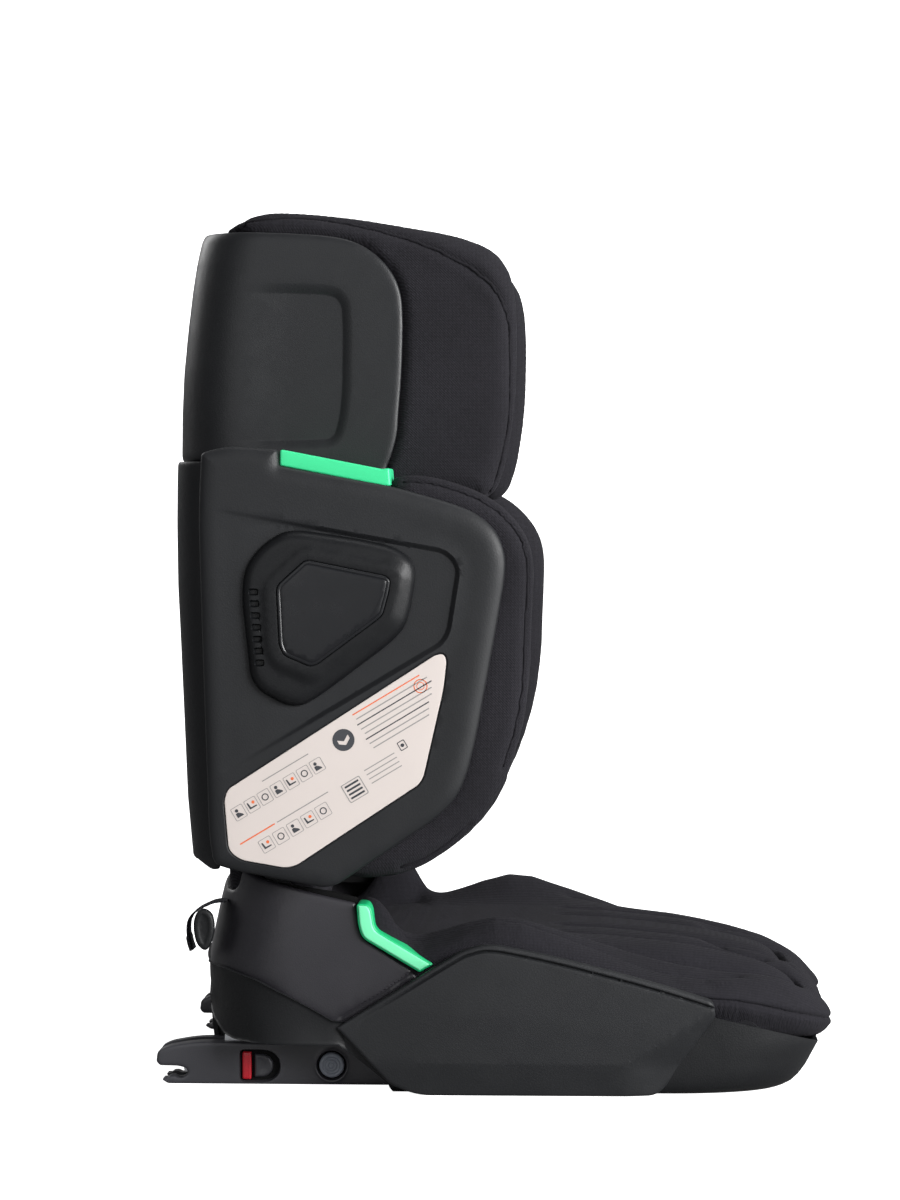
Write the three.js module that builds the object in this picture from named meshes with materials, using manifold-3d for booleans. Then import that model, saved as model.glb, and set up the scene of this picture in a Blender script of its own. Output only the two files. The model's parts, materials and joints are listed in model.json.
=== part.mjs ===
// High-back booster seat: base with isofix arms, reclining backrest and sliding headrest.
// Millimetres. +X is the way the child faces, +Y the child's left, +Z up. The origin is on the
// underside, on the mid-plane, in the middle of the side panels' bottom edge.
import * as THREE from 'three';
import { mergeVertices } from 'three/addons/utils/BufferGeometryUtils.js';
import Module from 'manifold-3d';

const wasm = await Module();
wasm.setup();

// ---------------------------------------------------------------- driving dimensions
const GAP = 0.4; // clearance between neighbouring pieces
const FOAM_GAP = 0.5; // clearance around a foam core
const WALL = 4; // moulded shell wall
const PANEL_OUT = 212; // outer and inner faces of the side panels
const PANEL_IN = 199.5;
const SHIELD_OUT = 207; // outer and inner faces of the backrest side shields
const SHIELD_IN = 197.5;
const RECESS_Y = 203.6; // floor of the recess the pod stands in
const POD_OUT = 216; // top of the side pod
const HEAD_HALF = 152; // half width of the headrest shell
const CHANNEL_HALF = 157; // half width of the channel the headrest slides in
const ARM_Y = 140; // isofix arms stand 280 apart
const ARM_HALF = 18;
const ARM_TOP = 30.5;
const ARM_CLEARANCE = 4; // from the arm's inner face to its bay
const PIVOT = { x: -190, z: 128 }; // recline pivot
const TILT = 0.02; // the headrest slides back this much per unit of rise
const NOTCH_PITCH = 25; // headrest height steps
const NOTCHES = 7;
const LOCK_Z = 288; // height of the lock at the lowest step

// ---------------------------------------------------------------- helpers
// Rounds the corners of a closed outline; each rounding starts at most `reach` from its corner.
function roundCorners(points, reach, steps) {
  const out = [];
  points.forEach((corner, i) => {
    const before = points[(i + points.length - 1) % points.length];
    const after = points[(i + 1) % points.length];
    const lengthIn = Math.hypot(before[0] - corner[0], before[1] - corner[1]);
    const lengthOut = Math.hypot(after[0] - corner[0], after[1] - corner[1]);
    const cut = Math.min(reach, lengthIn * 0.42, lengthOut * 0.42);
    const start = corner.map((v, k) => v + (before[k] - v) * cut / lengthIn);
    const end = corner.map((v, k) => v + (after[k] - v) * cut / lengthOut);
    for (let step = 0; step <= steps; step++) {
      const u = step / steps;
      out.push(corner.map((v, k) => (1 - u) ** 2 * start[k] + 2 * u * (1 - u) * v + u * u * end[k]));
    }
  });
  return out;
}

function toManifold(positions, indices) {
  return new wasm.Manifold(new wasm.Mesh({
    numProp: 3,
    vertProperties: new Float32Array(positions),
    triVerts: new Uint32Array(indices),
  }));
}

function solid(geometry) {
  geometry.deleteAttribute('normal');
  geometry.deleteAttribute('uv');
  const merged = mergeVertices(geometry, 1e-4);
  return toManifold(merged.attributes.position.array, merged.index.array);
}

const shapeOf = (points) => new THREE.Shape(points.map((p) => new THREE.Vector2(p[0], p[1])));

// Sweeps an outline of [x, z] points from y0 up to y1.
function sweepY(points, y0, y1, bevel = 0) {
  const geometry = new THREE.ExtrudeGeometry(shapeOf(points), {
    depth: y1 - y0 - 2 * bevel,
    bevelEnabled: bevel > 0,
    bevelThickness: bevel,
    bevelSize: bevel,
    bevelOffset: -bevel,
    bevelSegments: 1,
  });
  geometry.rotateX(Math.PI / 2);
  geometry.translate(0, y1 - bevel, 0);
  return solid(geometry);
}

// Sweeps an outline of [x, y] points from z0 up to z1.
function sweepZ(points, z0, z1) {
  const settings = { depth: z1 - z0, bevelEnabled: false };
  const geometry = new THREE.ExtrudeGeometry(shapeOf(points), settings);
  geometry.translate(0, 0, z0);
  return solid(geometry);
}

function box([x0, x1], [y0, y1], [z0, z1]) {
  const geometry = new THREE.BoxGeometry(x1 - x0, y1 - y0, z1 - z0);
  geometry.translate((x0 + x1) / 2, (y0 + y1) / 2, (z0 + z1) / 2);
  return solid(geometry);
}

function rodY({ x, z }, radius, y0, y1, sides) {
  const geometry = new THREE.CylinderGeometry(radius, radius, y1 - y0, sides);
  geometry.translate(x, (y0 + y1) / 2, z);
  return solid(geometry);
}

// Skins closed rings of equal count, anticlockwise about the sweep direction, with fan caps.
function loft(rings) {
  const count = rings[0].length;
  const verts = rings.flat();
  const tris = [];
  for (let i = 0; i + 1 < rings.length; i++) {
    for (let j = 0; j < count; j++) {
      const a = i * count + j;
      const b = i * count + (j + 1) % count;
      tris.push([a, b, b + count], [a, b + count, a + count]);
    }
  }
  const middle = (ring) => [0, 1, 2].map((k) => ring.reduce((sum, p) => sum + p[k], 0) / count);
  const startHub = verts.length;
  const endHub = startHub + 1;
  const lastRing = (rings.length - 1) * count;
  verts.push(middle(rings[0]), middle(rings[rings.length - 1]));
  for (let j = 0; j < count; j++) {
    const next = (j + 1) % count;
    tris.push([startHub, next, j], [endHub, lastRing + j, lastRing + next]);
  }
  return toManifold(verts.flat(), tris.flat());
}

// Level outline with round rear corners and front corners frontX long and frontY wide.
function planRing(rear, front, half, rearRadius, frontX, frontY, z, steps = 5) {
  const ring = [];
  const corner = (x, y, radiusX, radiusY, quarter) => {
    for (let k = 0; k <= steps; k++) {
      const angle = (Math.PI / 2) * (quarter + k / steps);
      ring.push([x + radiusX * Math.cos(angle), y + radiusY * Math.sin(angle), z]);
    }
  };
  corner(front - frontX, half - frontY, frontX, frontY, 0);
  corner(rear + rearRadius, half - rearRadius, rearRadius, rearRadius, 1);
  corner(rear + rearRadius, -half + rearRadius, rearRadius, rearRadius, 2);
  corner(front - frontX, -half + frontY, frontX, frontY, 3);
  return ring;
}

// Interpolates the rows of a table on its first column, holding the end rows beyond it.
function lookUp(table, at) {
  if (at <= table[0][0]) return table[0].slice(1);
  for (let i = 0; i + 1 < table.length; i++) {
    const [from, ...low] = table[i];
    const [to, ...high] = table[i + 1];
    if (at <= to) return low.map((v, k) => v + (high[k] - v) * (at - from) / (to - from));
  }
  return table[table.length - 1].slice(1);
}

// Returns a function of z and inset that gives the plan ring of a shell, from stations of
// z, rear x, half width.
function rearShellRing(stations, { front, rearRadius, frontCorner, steps }) {
  return (z, inset) => {
    const [rear, half] = lookUp(stations, z);
    return planRing(rear + inset, front - inset, half - inset, rearRadius - inset,
      frontCorner, frontCorner, z, steps);
  };
}

// Heights of a station table, with its ends moved to bottom and top.
const heights = (stations) => stations.map((row) => row[0]);
const heightsTo = (stations, bottom, top) => [bottom, ...heights(stations).slice(1, -1), top];

// Completes an [x, y] outline whose last point lies on the mid-plane.
const mirrorHalf = (half) => [...half, ...half.slice(0, -1).reverse().map(([x, y]) => [x, -y])];
const flipY = (body) => body.mirror([0, 1, 0]);
const cutBoth = (body, tool) => body.subtract(tool).subtract(flipY(tool));
const joinBoth = (body, part) => body.add(part).add(flipY(part));

// ---------------------------------------------------------------- base: lower shell
// z, rear x, front x, half width, front corner length
const SHELL = [
  [0, -246, 180, 189, 88], [5, -249.5, 186, 194, 90], [17, -252, 195, 196, 84],
  [35, -254, 205, 197, 76], [60, -257.5, 210, 197, 72], [76, -259.8, 212, 196, 70],
  [100, -259.8, 214, 195, 70]];
// top edge of the shell under the seat cushion: x, z
const SEAT_EDGE = [
  [-149, 45.4], [-90, 45.4], [60, 52], [112, 60], [133, 57.5], [150, 50], [175, 41.5],
  [206, 34.5]];

function shellRing(z, inset) {
  const [rear, front, half, frontX] = lookUp(SHELL, z);
  return planRing(rear + inset, front - inset, half - inset, 70 - inset,
    frontX - inset, 46 - inset, z);
}

// Bay open to the rear, side and underside; grown by a margin it leaves the bay's walls.
const armBay = (margin) => box([-300, -52 + margin],
  [ARM_Y - ARM_HALF - ARM_CLEARANCE - margin, 240], [-6, 37 + margin]);

function baseLowerShell() {
  const top = sweepY([
    [-300, -2], [-300, 81], [-240, 82.5], [-226, 82], [-200, 74], [-175, 60.6],
    ...SEAT_EDGE, [260, 24], [260, -2]], -260, 260);
  const cavity = loft([4.2, 17, 35, 60, 76, 101].map((z) => shellRing(z, WALL)));
  // arched opening in the rear wall under the collar: y, z
  const archOutline = [
    [-96, 6], [96, 6], [96, 34], [82, 52], [52, 62], [0, 65], [-52, 62], [-82, 52], [-96, 34]];
  const arch = loft([-300, -240].map((x) => archOutline.map(([y, z]) => [x, y, z])));
  const body = loft(heights(SHELL).map((z) => shellRing(z, 0))).intersect(top);
  return cutBoth(body, armBay(0)).subtract(cutBoth(cavity, armBay(WALL))).subtract(arch);
}

// ---------------------------------------------------------------- base: rear collar
function baseRearCollar() {
  // z, rear x, half width
  const stations = [
    [40, -255, 193], [76, -257.5, 193], [84, -262.6, 193], [90, -262, 193],
    [104.5, -257.6, 193], [122, -253, 192.6], [136, -249.4, 192], [150, -245.6, 191],
    [175, -240, 189]];
  const ring = rearShellRing(stations,
    { front: -40, rearRadius: 70, frontCorner: 10, steps: 6 });
  const side = sweepY([
    [-300, 146], [-243, 146], [-236, 150], [-233.5, 160], [-230.5, 163.4], [-209, 156.9],
    [-183.4, 151.9], [-157.8, 145.3], [-134, 140.3], [-131.6, 121], [-128.1, 114],
    [-91.6, 90.3], [-87.3, 85.2], [-148.6, 47.1], [-175, 62.3], [-200.5, 75.7], [-226, 84],
    [-300, 84]], -230, 230);
  const strapSlot = box([-290, -225], [-165, -135], [132.6, 139.4]);
  return loft(heights(stations).map((z) => ring(z, 0)))
    .intersect(side)
    .subtract(loft(heightsTo(stations, 30, 190).map((z) => ring(z, 3.5))))
    .subtract(strapSlot);
}

// ---------------------------------------------------------------- base: side panels
function sidePanel() {
  const outline = roundCorners([
    [-147, 49.9], [-74.9, 94.9], [-54.7, 106.9], [-45, 110], [-37.3, 111.5], [-26.5, 110.5],
    [8.1, 104.3], [51.1, 93.8], [94.2, 82.3], [131.2, 70.8], [132.6, 59.7], [94.4, 5.2],
    [87.8, 1.2], [-87, 0.3], [-107.2, 7.6]], 3, 1);
  // wedge that turns the outer face in towards its bottom edge: y, z
  const wedge = [[-240, -4], [-PANEL_OUT + 4.5, -4], [-PANEL_OUT, 22], [-240, 22]];
  return sweepY(outline, -PANEL_OUT, -PANEL_IN, 2)
    .subtract(loft([-260, 260].map((x) => wedge.map(([y, z]) => [x, y, z]))));
}

// ---------------------------------------------------------------- lap belt guides
function lapBeltGuide() {
  const outline = roundCorners([
    [-132.2, 140.6], [-125.5, 139.5], [-122.1, 134.5], [-119.6, 124.3], [-116.2, 119.2],
    [-76.2, 95.8], [-85, 90.6], [-86.6, 90.3], [-127, 115.2], [-130.4, 122.2]], 2, 2);
  return sweepY(outline, -196.5, -164, 1);
}

const lapGuideClearance = () => sweepY([
  [-132.8, 141.6], [-124.9, 140.6], [-121.2, 134.8], [-118.7, 124.8], [-115.5, 120.2],
  [-75, 96.4], [-75, 85], [-140, 85], [-140, 141]], -200, -162);

// ---------------------------------------------------------------- seat foam and cushion
// x, z
const FOAM_TOP = [[-232, 80], [-150, 74], [-60, 80], [60, 78], [120, 66], [160, 52], [174, 40]];

function seatFoamCore() {
  const outline = [...FOAM_TOP, [177, 20], [172, 9], [-40, 9], [-40, 46], [-232, 46]];
  const inside = loft([5, 17, 35, 60, 76, 100].map((z) => shellRing(z, WALL + 1.2)));
  return sweepY(outline, -178, 178).intersect(inside);
}

// x, half width, edge z, bolster crest z, crest y, centre z
const CUSHION = [
  [-186, 170, 84, 88, 150, 86], [-170, 182, 86, 96, 160, 90], [-140, 188, 88, 104, 166, 92],
  [-118, 192, 90, 112, 168, 94], [-100, 194, 92, 111, 168, 95.5],
  [-84, 195.5, 97, 108, 168, 96.5], [-54, 196.5, 107, 115, 168, 97.8],
  [-33, 196.8, 108, 120, 168, 98.2], [-8, 196.8, 105, 114.5, 167, 98.4],
  [28, 196.8, 96, 104, 164, 98], [60, 196.8, 88, 97, 160, 97.5], [93, 196.6, 78, 92, 150, 99],
  [118, 195.5, 68, 90, 140, 101.5], [140, 192, 60, 86, 132, 99], [160, 184, 52, 79, 125, 91],
  [176, 175, 45, 71, 120, 81], [190, 164, 39, 61, 112, 72], [203, 150, 36.5, 52, 105, 62],
  [211, 138, 33, 45, 100, 49], [216.5, 126, 31, 40, 95, 41]];
// x, z
const CUSHION_BOTTOM = [
  [-186, 64], [-149, 48], [-90, 47], [60, 53.8], [112, 61.8], [133, 59.3], [150, 51.8],
  [175, 43.4], [190, 39.3], [203, 36.6], [211, 31], [216.5, 30]];

// Cross-section at one station, anticlockwise seen from the front.
function cushionRing([x, half, edge, crest, crestY, centre]) {
  const bottom = Math.min(lookUp(CUSHION_BOTTOM, x)[0], edge - 1.2);
  const dip = crest - centre;
  // left side from the bottom over the bolster to the mid-plane: y, z
  const leftSide = [
    [half - 3, bottom],
    [half, bottom + (edge - bottom) * 0.4],
    [half - 1, edge],
    [half - (half - crestY) * 0.35, edge + (crest - edge) * 0.72],
    [crestY, crest],
    [crestY * 0.84, crest - dip * 0.22],
    [crestY * 0.66, centre + dip * 0.16],
    [crestY * 0.4, centre + dip * 0.02],
    [0, centre],
  ];
  const underside = [[-half * 0.5, bottom], [0, bottom], [half * 0.5, bottom]];
  return [...mirrorRing(leftSide), ...underside].map(([y, z]) => [x, y, z]);
}

// Completes a [y, z] outline whose last point lies on the mid-plane.
function mirrorRing(half) {
  return [...half, ...half.slice(0, -1).reverse().map(([y, z]) => [-y, z])];
}

function seatCushion() {
  const foamClearance = sweepY([
    [-300, 30], [-300, 80], [-186, 80], ...FOAM_TOP.slice(1).map(([x, z]) => [x, z + FOAM_GAP]),
    [176, 39.5], [177.5, 30]], -179, 179);
  const shellClearance = sweepY([
    [-300, -2], [-300, 60], ...SEAT_EDGE.map(([x, z]) => [x, z + 0.8]), [212, 30], [212, -2]],
  -260, 260);
  const body = cutBoth(loft(CUSHION.map(cushionRing)).subtract(foamClearance),
    lapGuideClearance()).subtract(shellClearance);
  // the rear part is narrower, to stand inside the collar
  return cutBoth(body, box([-300, -84.5], [188.2, 230], [0, 300]));
}

// ---------------------------------------------------------------- isofix arms
const armMiddle = -ARM_Y;
const armOuter = armMiddle - ARM_HALF;
const armInner = armMiddle + ARM_HALF;
const HOOK_PIN = { x: -252, z: 19 };
const BUTTON = { x: -154.5, z: 14.6 };
const BUTTON_RADIUS = 9.4;

const hookBore = () => rodY(HOOK_PIN, 2.3, armMiddle - 10, armMiddle + 10, 14);

function isofixHousing() {
  const outline = roundCorners([
    [-60, 0.5], [-60, ARM_TOP], [-262, ARM_TOP], [-283, 25.8], [-287.4, 21], [-287.6, 15],
    [-271.5, 13], [-265.4, 12.4], [-262, 9], [-265.5, 5.6], [-271.5, 5.8], [-277.5, 6.4],
    [-281.6, 5.2], [-282.8, 3], [-279, 0.5]], 1.9, 2);
  const hookBay = box([-274, -236], [armMiddle - 5, armMiddle + 5], [5, 27]);
  const sliderRecess = roundCorners(
    [[-223, 2.2], [-193.6, 2.2], [-193.6, 25.4], [-223, 25.4]], 3.5, 3);
  return sweepY(outline, armOuter, armInner, 1.2)
    .subtract(hookBay)
    .subtract(hookBore())
    .subtract(sweepY(sliderRecess, -170, armOuter + 6))
    .subtract(rodY(BUTTON, BUTTON_RADIUS + 1.5, -170, armOuter + 10, 22));
}

function isofixLatchHook() {
  const outline = roundCorners([
    [-256, 24], [-248, 24], [-247, 15], [-252, 12.5], [-262, 11.2], [-264, 6.6], [-268, 7],
    [-268.4, 12.2], [-262, 16.4], [-257, 18]], 1.2, 2);
  return sweepY(outline, armMiddle - 3.6, armMiddle + 3.6).subtract(hookBore());
}

const isofixHookPin = () => rodY(HOOK_PIN, 1.9, armMiddle - 9.5, armMiddle + 9.5, 14);

function isofixReleaseSlider() {
  const outline = roundCorners([
    [-213.4, 3.8], [-203, 3.8], [-198.2, 8.6], [-198.2, 19], [-203, 23.8],
    [-213.4, 23.8]], 4, 3);
  return sweepY(outline, armOuter - 0.6, armOuter + 5.4, 0.8);
}

const isofixIndicator = () => sweepY(
  [[-221.8, 3.2], [-215.2, 3.2], [-215.2, 24.4], [-221.8, 24.4]],
  armOuter + 0.6, armOuter + 5.4);

// Round button with a ring groove in its outer face.
function isofixAdjustButton() {
  const groove = rodY(BUTTON, 7.4, armOuter - 3, armOuter, 20)
    .subtract(rodY(BUTTON, 5, armOuter - 4, armOuter + 1, 16));
  return rodY(BUTTON, BUTTON_RADIUS, armOuter - 1, armOuter + 6, 22).subtract(groove);
}

const isofixGuideRail = () => box(
  [-236, -58], [armMiddle - 12, armMiddle + 12], [ARM_TOP + 0.8, 36.5]);

// ---------------------------------------------------------------- strap at the collar's rear
function releaseStrap() {
  const halfThickness = 0.8;
  const path = [[-234, 136], [-250, 136], [-262, 131.5], [-267.5, 123], [-261, 101]];
  const offsetPath = (distance) => path.map(([x, z], i) => {
    const before = path[Math.max(i - 1, 0)];
    const after = path[Math.min(i + 1, path.length - 1)];
    const dx = after[0] - before[0];
    const dz = after[1] - before[1];
    const length = Math.hypot(dx, dz);
    return [x - dz / length * distance, z + dx / length * distance];
  });
  const outline = [...offsetPath(halfThickness), ...offsetPath(-halfThickness).reverse()];
  return sweepY(outline, -162, -138);
}

const releaseStrapPaddle = () => sweepY(roundCorners([
  [-247, 131], [-243, 121], [-246, 108], [-254, 100.5], [-258.5, 110],
  [-256, 123]], 6, 2), -171, -165.5);

// ---------------------------------------------------------------- backrest: rear shell
function backrestRearShell() {
  // z, rear x, half width
  const stations = [
    [166, -254.8, 192], [172, -257, 194.5], [218, -262.3, 196.5], [276, -264.7, 196.8],
    [333, -267.2, 196.8], [377, -269.3, 196.8], [422, -269.9, 196.8], [454, -269.4, 196.6],
    [464, -268, 195]];
  const ring = rearShellRing(stations,
    { front: -200, rearRadius: 34, frontCorner: 8, steps: 5 });
  return loft(heights(stations).map((z) => ring(z, 0)))
    .subtract(loft(heightsTo(stations, 160, 470).map((z) => ring(z, WALL))))
    .subtract(box([-236, 0], [-230, 230], [100, 500]));
}

// ---------------------------------------------------------------- backrest: side shields
function sideShield() {
  const outline = roundCorners([
    [-247.2, 474], [-235.4, 478], [-226.6, 479.8], [-190.5, 477.3], [-189.8, 465.4],
    [-151.5, 458], [-105.4, 449.5], [-66.1, 438.8], [-49.3, 432.8], [-36, 424.5],
    [-27, 412.6], [-22.8, 398], [-23.3, 383.7], [-30.5, 338.7], [-44.3, 262.9],
    [-50.8, 236.4], [-56, 225], [-72, 205.3], [-100.6, 186.2], [-147.7, 154.6],
    [-157.2, 153.1], [-223.1, 165.4], [-238.3, 170.4], [-242, 190], [-246.9, 337],
    [-249.5, 430]], 2.5, 1);
  const recess = roundCorners([
    [-190, 424], [-66.8, 401.7], [-57.2, 392.1], [-64.6, 342.8], [-70, 334.5], [-226, 241.4],
    [-238, 250], [-243.5, 330], [-240, 400], [-216, 418]], 7, 2);
  return sweepY(outline, -SHIELD_OUT, -SHIELD_IN, 2).subtract(sweepY(recess, -230, -RECESS_Y));
}

// The pod narrows from its foot to its cap and has a column of slots along its rear edge.
function sidePod() {
  const outline = roundCorners([
    [-217.3, 366.6], [-215.8, 388.7], [-201.7, 407.1], [-184.7, 416.7], [-173.7, 417.5],
    [-129.6, 411.1], [-103.8, 405.3], [-91.3, 396.5], [-88.4, 385.5], [-92.1, 359.8],
    [-96.5, 346.5], [-107.6, 334], [-159.2, 295.4], [-173.9, 287.9], [-185, 289.3],
    [-203.4, 298.8], [-210.8, 307.7], [-213, 329.8]], 4, 1);
  const centre = { x: -160, z: 356 };
  // y, scale of the outline about the centre
  const stations = [[-POD_OUT, 0.88], [-213.4, 0.94], [-209, 0.985], [-(RECESS_Y + GAP), 1]];
  let pod = loft(stations.map(([y, scale]) => outline.map(([x, z]) => [
    centre.x + (x - centre.x) * scale, y, centre.z + (z - centre.z) * scale])));
  for (let i = 0; i < 7; i++) {
    const x = -212.5 + i * 0.8;
    const z = 370.4 - i * 8.7;
    pod = pod.subtract(box([x, x + 8], [-230, -205.2], [z, z + 4.6]));
  }
  return pod;
}

const sidePodBadge = () => sweepY(roundCorners([
  [-170, 398], [-110, 386.5], [-105.8, 382], [-107, 372], [-112, 354], [-116, 349],
  [-159, 318], [-165, 316.4], [-185.5, 325], [-188.4, 333], [-191, 374.5]], 4, 2),
-(POD_OUT + 2), -(POD_OUT + 0.3));

const labelPlate = () => sweepY(roundCorners([
  [-73.7, 326], [-67.8, 326.8], [-65.6, 321.7], [-67.8, 301], [-82.6, 236.1], [-86, 230.2],
  [-177.1, 169.8], [-185.2, 168.2], [-218.5, 174], [-227, 181], [-230.2, 218.9],
  [-227.3, 226.3]], 2, 2), -(SHIELD_OUT + 1.2), -(SHIELD_OUT + 0.3));

// ---------------------------------------------------------------- backrest: foam core
// Grown by a margin it is the pocket in the cover, which also reaches further to the rear.
function backrestFoam(margin) {
  const rear = margin * 20;
  const centre = sweepY([
    [-234 - rear, 135 - margin], [-205 + margin, 128 - margin], [-203 + margin, 412 + margin],
    [-243 - rear, 412 + margin], [-243 - rear, 196], [-234 - rear, 184]],
  -128 - margin, 128 + margin);
  const wing = sweepY(roundCorners([
    [-232 - margin, 186 - margin], [-110, 180 - margin], [-68, 214], [-52 + margin, 262],
    [-40 + margin, 340], [-36 + margin, 388], [-46, 408 + margin], [-90, 418 + margin],
    [-232 - margin, 420 + margin]], 8, 2), -186 - margin, -172 + margin);
  const link = box([-236 - margin, -206 + margin], [-186 - margin, -120],
    [216 - margin, 412 + margin]);
  return joinBoth(joinBoth(centre, wing), link);
}

// ---------------------------------------------------------------- recline bracket
const bracketOutline = (margin) => roundCorners([
  [-230 - margin, 210 + margin], [-206 + margin, 210 + margin], [-192 + margin, 168],
  [-177 + margin, 137], [-176 + margin, 120 - margin], [-190, 114 - margin],
  [-203 - margin, 121 - margin], [-202 - margin, 145], [-205 - margin, 172],
  [-226 - margin, 200 - margin]], 6, 3);

// The plate stands just inside the wing foam.
const reclineBracket = () => sweepY(bracketOutline(0), -170.4, -167.2)
  .subtract(rodY(PIVOT, 5.2, -200, -150, 20));
const reclinePin = () => rodY(PIVOT, 5, -186.8, -163, 20);

// ---------------------------------------------------------------- backrest: padded cover
function backrestCushion() {
  // U-shaped plan: x, y
  const planOutline = mirrorHalf([
    [-234, -196.6], [-30, -196.6], [-12, -194], [-3, -186], [0.6, -175], [-3, -164],
    [-14, -157], [-60, -152], [-150, -140], [-176, -124], [-184, -100], [-190, -60],
    [-191, 0]]);
  const sideOutline = [
    [-235, 468], [-206, 471], [-191.8, 470], [-191.2, 463.2], [-150, 455.4], [-108, 447.6],
    [-106.6, 464.6], [-92.8, 464.9], [-78.8, 463.1], [-60, 458], [-41.2, 450.5], [-27, 442],
    [-15.8, 431.3], [-6.4, 418.2], [-1.2, 404.1], [0.3, 390], [-0.2, 371.3], [-2.6, 337.3],
    [-4.6, 298.9], [-11.6, 264.8], [-18.2, 245.9], [-24.7, 228.9], [-32.2, 213.7],
    [-45.5, 196.5], [-68.1, 177], [-87.9, 164], [-104, 155.4], [-120, 153], [-150, 154],
    [-235, 172]];
  // z, rear x
  const limits = [[140, -255.2], [480, -261.2]];
  const centrePad = sweepY(roundCorners([
    [-234, 440], [-191, 440], [-188, 360], [-186, 240], [-182, 160], [-168, 122],
    [-176, 108], [-206, 112], [-234, 128]], 8, 3), -138, 138);
  const channel = box([-300, 60], [-CHANNEL_HALF, CHANNEL_HALF], [428, 520]);
  const rearRelief = box([-300, -242], [-60, 60], [100, 520]);
  const lowRearNotch = box([-300, -231], [128, 147], [100, 178]);
  const belowWing = sweepY([
    [-300, 90], [-300, 178], [-236, 178], [-206, 175], [-190, 162], [-150, 152.5],
    [-150, 90]], -230, -146);
  let pad = sweepZ(planOutline, 150, 480)
    .intersect(sweepY(sideOutline, -200, 200))
    .intersect(loft(limits.map(([z, rear]) => planRing(rear, 20, 196.7, 30, 10, 10, z))))
    .add(centrePad)
    .subtract(channel)
    .subtract(rearRelief);
  pad = cutBoth(pad, lowRearNotch).subtract(backrestFoam(FOAM_GAP));
  pad = cutBoth(pad, sweepY(bracketOutline(1.2), -172.4, -165.4));
  return cutBoth(pad, belowWing);
}

// ---------------------------------------------------------------- headrest rack
// x at height z of a line along the headrest's travel, given its x at z = 300
const slideX = (xAt300, z) => xAt300 - TILT * (z - 300);

// Strip the headrest locks into, one notch per height step.
function headrestRack() {
  const foot = 276;
  const top = 450;
  const face = (z) => slideX(-255.6, z);
  const outline = [[face(foot), foot]];
  for (let i = 0; i < NOTCHES; i++) {
    const z = LOCK_Z + i * NOTCH_PITCH;
    const floor = face(z) - 3.2;
    outline.push([face(z), z - 3], [floor, z - 3], [floor, z + 3], [face(z), z + 3]);
  }
  outline.push([face(top), top], [-265.2, top], [-260.3, foot]);
  return sweepY(outline, -18, 18);
}

// ---------------------------------------------------------------- headrest: shell
// z, rear x, half width
const HEAD = [
  [430, -276.4, HEAD_HALF], [460, -276.2, HEAD_HALF], [503, -274.7, HEAD_HALF],
  [542, -272.5, HEAD_HALF], [581, -269, 151.8], [610, -265.4, 151], [624, -262.8, 149.5],
  [631, -258.8, 147.5], [635.6, -252, 143.5]];
const headRing = rearShellRing(HEAD,
  { front: -60, rearRadius: 52, frontCorner: 10, steps: 6 });

function headrestShell() {
  const side = sweepY([
    [-300, 469], [-236, 469], [-232, 444], [-113, 444], [-114.7, 462.4], [-110.9, 472.8],
    [-107.1, 488], [-103.7, 535.3], [-102.7, 573], [-103.6, 591.9], [-108, 605.1],
    [-117.5, 617.4], [-130.7, 626.8], [-144, 631.5], [-161, 634], [-189, 636],
    [-300, 636]], -200, 200);
  const handleOpening = box([-290, -240], [-48, 48], [580, 622]);
  return loft(heights(HEAD).map((z) => headRing(z, 0)))
    .intersect(side)
    .subtract(loft(heightsTo(HEAD, 425, 640).map((z) => headRing(z, 5))))
    .subtract(handleOpening);
}

// ---------------------------------------------------------------- headrest: foam and cover
// Grown by a margin it is the pocket in the cover, which also reaches further to the rear.
function headrestFoam(margin) {
  const rear = -242.4 - margin * 30;
  const outline = roundCorners([
    [rear, 452 - margin], [-212 + margin, 452 - margin], [-208 + margin, 560],
    [-214 + margin, 612 + margin], [-228, 622 + margin], [rear, 622 + margin]], 5, 2);
  return sweepY(outline, -112 - margin, 112 + margin);
}

function headrestCushion() {
  // x, y
  const planOutline = roundCorners(mirrorHalf([
    [-256, -146.2], [-99.6, -146.2], [-98.6, -151], [-50, -151.4], [-28, -146],
    [-20.6, -132], [-26, -116], [-60, -103], [-150, -94], [-184, -78], [-197, -44],
    [-199, 0]]), 4, 2);
  const sideOutline = [
    [-250, 436], [-46, 436], [-35.6, 446], [-30, 462], [-24.4, 497], [-21.6, 535],
    [-22.6, 565.3], [-31.2, 590], [-48.3, 609], [-76.7, 624], [-105, 636.6],
    [-135.4, 642.6], [-165.7, 646.7], [-196.2, 648.6], [-226.6, 646.6], [-246, 641],
    [-256, 634], [-262, 600], [-264, 540], [-264, 436]];
  // the cover fits inside the shell, but is free in front of it and above it
  const insideShell = loft(heightsTo(HEAD, 425, 641).map((level) => headRing(level, 5.6)
    .map(([x, y, z]) => [x > -90 ? 10 : x, y, z])));
  const inFront = box([-98, 20], [-160, 160], [400, 700]);
  const above = sweepZ(planRing(-243, 10, 138, 50, 10, 10, 0), 630, 660);
  return sweepZ(planOutline, 430, 655)
    .intersect(sweepY(sideOutline, -170, 170))
    .intersect(insideShell.add(inFront).add(above))
    .subtract(headrestFoam(FOAM_GAP))
    .subtract(box([-300, -243], [-60, 60], [420, 626]));
}

// ---------------------------------------------------------------- headrest: slider and lock
function headrestSliderFork() {
  const foot = 272;
  const top = 556;
  const rear = (z) => slideX(-255, z);
  const plate = sweepY(
    [[rear(foot), foot], [rear(top), top], [rear(top) + 3, top], [rear(foot) + 3, foot]],
    -46, 46);
  return plate.subtract(box([-300, -200], [-24, 24], [260, 480]));
}

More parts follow.
